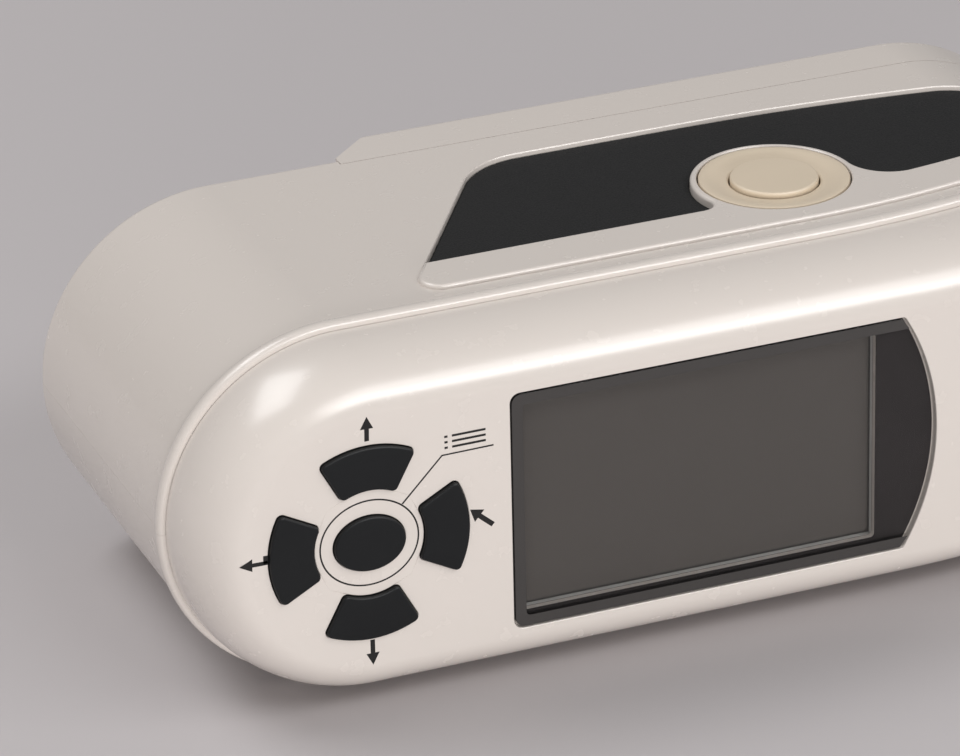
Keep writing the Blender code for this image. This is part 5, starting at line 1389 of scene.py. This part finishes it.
def clear_tint(name, paint, opacity):
    """Tinted glass: part of what lies behind shows through."""
    material, tree, shader = nodes_of(name)
    smear = noise(tree, 60.0, 3.0)
    tree.links.new(spread(tree, smear.outputs[0], 0.02, 0.07), shader.inputs["Roughness"])
    mottled(tree, shader, paint, 300.0, 0.05)
    shader.inputs["Alpha"].default_value = opacity
    shader.inputs["IOR"].default_value = 1.49
    return material


def circuit_board(name):
    """Green board with pale tracks on a square raster."""
    material, tree, shader = nodes_of(name)
    where = tree.nodes.new("ShaderNodeTexCoord")
    raster = tree.nodes.new("ShaderNodeTexBrick")
    raster.inputs["Scale"].default_value = 400.0
    raster.inputs["Color1"].default_value = (0.02, 0.16, 0.07, 1.0)
    raster.inputs["Color2"].default_value = (0.015, 0.13, 0.055, 1.0)
    raster.inputs["Mortar"].default_value = (0.05, 0.26, 0.13, 1.0)
    tree.links.new(where.outputs["Object"], raster.inputs["Vector"])
    tree.links.new(raster.outputs["Color"], shader.inputs["Base Color"])
    uneven = noise(tree, 500.0)
    tree.links.new(spread(tree, uneven.outputs[0], 0.3, 0.55), shader.inputs["Roughness"])
    return material


def metal(name, paint, roughness):
    """Plated metal with fine drawn lines."""
    material, tree, shader = nodes_of(name)
    mottled(tree, shader, paint, 600.0, 0.06)
    lines = noise(tree, 3000.0, 2.0)
    tree.links.new(spread(tree, lines.outputs[0], roughness * 0.7, roughness * 1.3), shader.inputs["Roughness"])
    shader.inputs["Metallic"].default_value = 1.0
    return material


_made = {}


def finishes():
    """All finishes by name, made once."""
    if _made:
        return _made
    look = sizes("colours")
    white = tuple(look.case_white)
    _made["case_white"] = moulding("case_white", white, 0.27, 500.0, 0.0000001, 0.004, 0.5, 0.35)
    _made["button_cream"] = moulding("button_cream", tuple(look.button_cream), 0.42, 2200.0, 0.000006, 0.03)
    _made["key_black"] = moulding("key_black", tuple(look.key_black), 0.50, 3200.0, 0.000010, 0.10, 0.28)
    _made["ink_black"] = moulding("ink_black", tuple(look.ink_black), 0.45, 2500.0, 0.000002, 0.10, 0.3)
    _made["plastic_black"] = moulding("plastic_black", (0.02, 0.02, 0.021), 0.40, 2600.0, 0.000008, 0.08)
    _made["foam_black"] = moulding("foam_black", (0.006, 0.006, 0.006), 0.9, 2600.0, 0.00004, 0.2, 0.1)
    # Pale copy of the black foam for its cut faces that face the light: painted light.
    _made["foam_painted_lit_side"] = moulding("foam_painted_lit_side", (0.62, 0.61, 0.59), 0.7, 2600.0, 0.00001, 0.08, 0.2)
    _made["print_black"] = moulding("print_black", (0.043, 0.038, 0.038), 0.5, 900.0, 0.000002, 0.1, 0.2)
    _made["panel_edge"] = moulding("panel_edge", (0.06, 0.056, 0.052), 0.35, 500.0, 0.000002, 0.05)
    _made["panel_grey"] = moulding("panel_grey", tuple(look.panel_grey), 0.30, 300.0, 0.000002, 0.03)
    _made["glass_rim"] = moulding("glass_rim", (0.050, 0.046, 0.044), 0.35, 2600.0, 0.000004, 0.05)
    _made["grip_black"] = grained_rubber("grip_black", tuple(look.grip_black))
    _made["display_glass"] = clear_tint("display_glass", (0.004, 0.004, 0.004), 0.12)
    _made["lens_glass"] = clear_tint("lens_glass", (0.75, 0.80, 0.80), 0.25)
    _made["circuit_board"] = circuit_board("circuit_board")
    _made["steel"] = metal("steel", (0.55, 0.55, 0.56), 0.3)
    _made["brass"] = metal("brass", (0.70, 0.55, 0.25), 0.3)
    _made["white_coating"] = moulding("white_coating", (0.82, 0.82, 0.80), 0.9, 1500.0, 0.00002, 0.02, 0.2)
    _made["battery_wrap"] = moulding("battery_wrap", (0.05, 0.12, 0.35), 0.35, 800.0, 0.000006, 0.06)
    _made["silicone"] = moulding("silicone", (0.06, 0.06, 0.06), 0.6, 1500.0, 0.00001, 0.08)
    return _made


def finish_inner_nodes():
    """Give each solid of the frame that stays the finish of its material slot."""
    by_slot = {"white_case": "case_white", "black_grip": "grip_black", "black_keys": "key_black",
               "display_glass": "display_glass", "lcd_surface": "panel_grey", "cream_plastic": "button_cream",
               "black_plastic": "plastic_black"}
    slots = {part["node"]: part["material_slot"] for part in frame["record"]["subparts"]}
    for name, node in frame["nodes"].items():
        slot = slots[name]
        node.data.materials.clear()
        node.data.materials.append(finishes()[by_slot.get(slot, slot)])


# Stage

def build_floor():
    look = sizes("colours")
    half = 3.0
    mesh = bpy.data.meshes.new("floor")
    mesh.from_pydata([(-half, -half, 0), (half, -half, 0), (half, half, 0), (-half, half, 0)], [], [(0, 1, 2, 3)])
    floor = bpy.data.objects.new("floor", mesh)
    bpy.context.scene.collection.objects.link(floor)
    material, tree, shader = nodes_of("floor_grey")
    mottled(tree, shader, tuple(look.floor_grey), 3.0, 0.01)
    shader.inputs["Roughness"].default_value = 0.9
    shader.inputs["Specular IOR Level"].default_value = 0.1
    mesh.materials.append(material)


def area_light(name, way, distance, width, height, power):
    """A soft light that looks at the middle of the case from a direction."""
    data = bpy.data.lights.new(name, "AREA")
    data.shape = "RECTANGLE"
    data.size = width
    data.size_y = height
    data.energy = power
    light = bpy.data.objects.new(name, data)
    bpy.context.scene.collection.objects.link(light)
    direction = Vector(way).normalized()
    light.location = Vector((0, 0, radius_of_case())) + direction * distance
    light.rotation_mode = "QUATERNION"
    light.rotation_quaternion = direction.to_track_quat("Z", "Y")
    return light


def build_lights():
    settings = sizes("stage")
    area_light("key_light", (0.33, -0.63, 0.70), 1.3, 1.0, 0.30, settings.key_power)
    streak = area_light("streak_light", (0.33, -0.56, 0.76), 1.3, 1.5, 0.75, settings.streak_power)
    streak.visible_diffuse = False
    fill = area_light("fill_light", (-0.20, -0.96, 0.10), 2.0, 1.6, 0.3, settings.fill_power)
    fill.visible_glossy = False
    area_light("rear_light", (-0.42, 0.32, 0.84), 1.5, 0.9, 0.6, settings.rear_power)
    world = bpy.data.worlds.new("studio")
    bpy.context.scene.world = world
    world.use_nodes = True
    shade_of_air = world.node_tree.nodes["Background"]
    shade_of_air.inputs["Color"].default_value = (1.0, 0.985, 0.98, 1.0)
    shade_of_air.inputs["Strength"].default_value = settings.ambient


def build_camera():
    settings = sizes("stage")
    data = bpy.data.cameras.new("camera")
    data.lens = settings.lens
    data.sensor_width = 36.0
    camera = bpy.data.objects.new("camera", data)
    bpy.context.scene.collection.objects.link(camera)
    azimuth, elevation, roll = settings.azimuth, settings.elevation, settings.roll
    forward = -Vector((sin(azimuth) * cos(elevation), -cos(azimuth) * cos(elevation), sin(elevation)))
    right = forward.cross(Vector((0, 0, 1))).normalized()
    up = right.cross(forward)
    rolled_right = right * cos(roll) + up * sin(roll)
    rolled_up = up * cos(roll) - right * sin(roll)
    turn_of_camera = Matrix((rolled_right, rolled_up, -forward)).transposed()
    camera.rotation_mode = "QUATERNION"
    camera.rotation_quaternion = turn_of_camera.to_quaternion()
    camera.location = settings.place
    data.clip_start = 0.05
    data.clip_end = 20.0
    bpy.context.scene.camera = camera
    bpy.context.scene.view_settings.view_transform = "Standard"


# Operators

class COLORIMETER_OT_stage(Operator):
    """Make the floor, the lights and the camera"""
    bl_idname = "colorimeter.stage"
    bl_label = "Stage"

    def execute(self, context):
        build_floor()
        build_lights()
        build_camera()
        return {"FINISHED"}


class COLORIMETER_OT_inner(Operator):
    """Finish the solids that stay as they are"""
    bl_idname = "colorimeter.inner"
    bl_label = "Inner Parts"

    def execute(self, context):
        finish_inner_nodes()
        return {"FINISHED"}


class COLORIMETER_OT_cover(Operator):
    """Make the front cover with its rounded shoulder, key holes and display seat"""
    bl_idname = "colorimeter.cover"
    bl_label = "Front Cover"

    def execute(self, context):
        build_cover()
        return {"FINISHED"}


class COLORIMETER_OT_keypad(Operator):
    """Make the five keys and the printed marks round them"""
    bl_idname = "colorimeter.keypad"
    bl_label = "Keypad"

    def execute(self, context):
        for name in (*key_angles(), "key_centre"):
            build_key(name)
        build_marks()
        return {"FINISHED"}


class COLORIMETER_OT_display(Operator):
    """Make the glass, its print, the foam frame and the panel"""
    bl_idname = "colorimeter.display"
    bl_label = "Display"

    def execute(self, context):
        build_lens()
        build_lens_print()
        build_gasket()
        build_panel()
        return {"FINISHED"}


class COLORIMETER_OT_shells(Operator):
    """Make the two side shells with bead, strip, collar and grip recess"""
    bl_idname = "colorimeter.shells"
    bl_label = "Side Shells"

    def execute(self, context):
        for shell in (build_upper_shell(), build_lower_shell()):
            del shell
        return {"FINISHED"}


class COLORIMETER_OT_grips(Operator):
    """Make the grained black grips"""
    bl_idname = "colorimeter.grips"
    bl_label = "Grips"

    def execute(self, context):
        build_grip("upper_grip", 1)
        build_grip("lower_grip", -1)
        return {"FINISHED"}


class COLORIMETER_OT_button(Operator):
    """Make the dished ring and the cap of the trigger button"""
    bl_idname = "colorimeter.button"
    bl_label = "Trigger Button"

    def execute(self, context):
        build_button()
        return {"FINISHED"}


class COLORIMETER_OT_rear(Operator):
    """Make the rear platform, the measuring ring, its screws and the battery cover"""
    bl_idname = "colorimeter.rear"
    bl_label = "Rear"

    def execute(self, context):
        build_platform()
        build_aperture()
        build_screws()
        build_door()
        return {"FINISHED"}


class COLORIMETER_OT_slider(Operator):
    """Make the power slider in the lower side"""
    bl_idname = "colorimeter.slider"
    bl_label = "Power Slider"

    def execute(self, context):
        build_slider()
        return {"FINISHED"}


class COLORIMETER_PT_looks(Panel):
    """Lists the pieces in the order in which they are made"""
    bl_label = "Colorimeter"
    bl_space_type = "VIEW_3D"
    bl_region_type = "UI"
    bl_category = "Colorimeter"

    def draw(self, context):
        for operator in OPERATORS:
            self.layout.operator(operator.bl_idname)
        for name in GROUPS:
            box = self.layout.box()
            box.label(text=name.capitalize())
            group = sizes(name)
            for item in group.bl_rna.properties:
                if not item.is_readonly and item.identifier != "name":
                    box.prop(group, item.identifier)


GROUPS = {"case": CaseSizes, "strip": StripSizes, "grip": GripSizes, "button": ButtonSizes,
          "display": DisplaySizes, "keypad": KeypadSizes, "rear": RearSizes, "colours": FinishColours,
          "stage": StageSettings}
OPERATORS = (COLORIMETER_OT_stage, COLORIMETER_OT_inner, COLORIMETER_OT_cover, COLORIMETER_OT_keypad,
             COLORIMETER_OT_display, COLORIMETER_OT_shells, COLORIMETER_OT_grips, COLORIMETER_OT_button,
             COLORIMETER_OT_rear, COLORIMETER_OT_slider)


def register():
    for name, group in GROUPS.items():
        bpy.utils.register_class(group)
        setattr(bpy.types.Scene, "colorimeter_" + name, PointerProperty(type=group))
    for operator in OPERATORS:
        bpy.utils.register_class(operator)
    bpy.utils.register_class(COLORIMETER_PT_looks)


def unregister():
    bpy.utils.unregister_class(COLORIMETER_PT_looks)
    for operator in reversed(OPERATORS):
        bpy.utils.unregister_class(operator)
    for name, group in GROUPS.items():
        delattr(bpy.types.Scene, "colorimeter_" + name)
        bpy.utils.unregister_class(group)


def main():
    register()
    for operator in OPERATORS:
        group, name = operator.bl_idname.split(".")
        getattr(getattr(bpy.ops, group), name)()


if __name__ == "__main__":
    main()
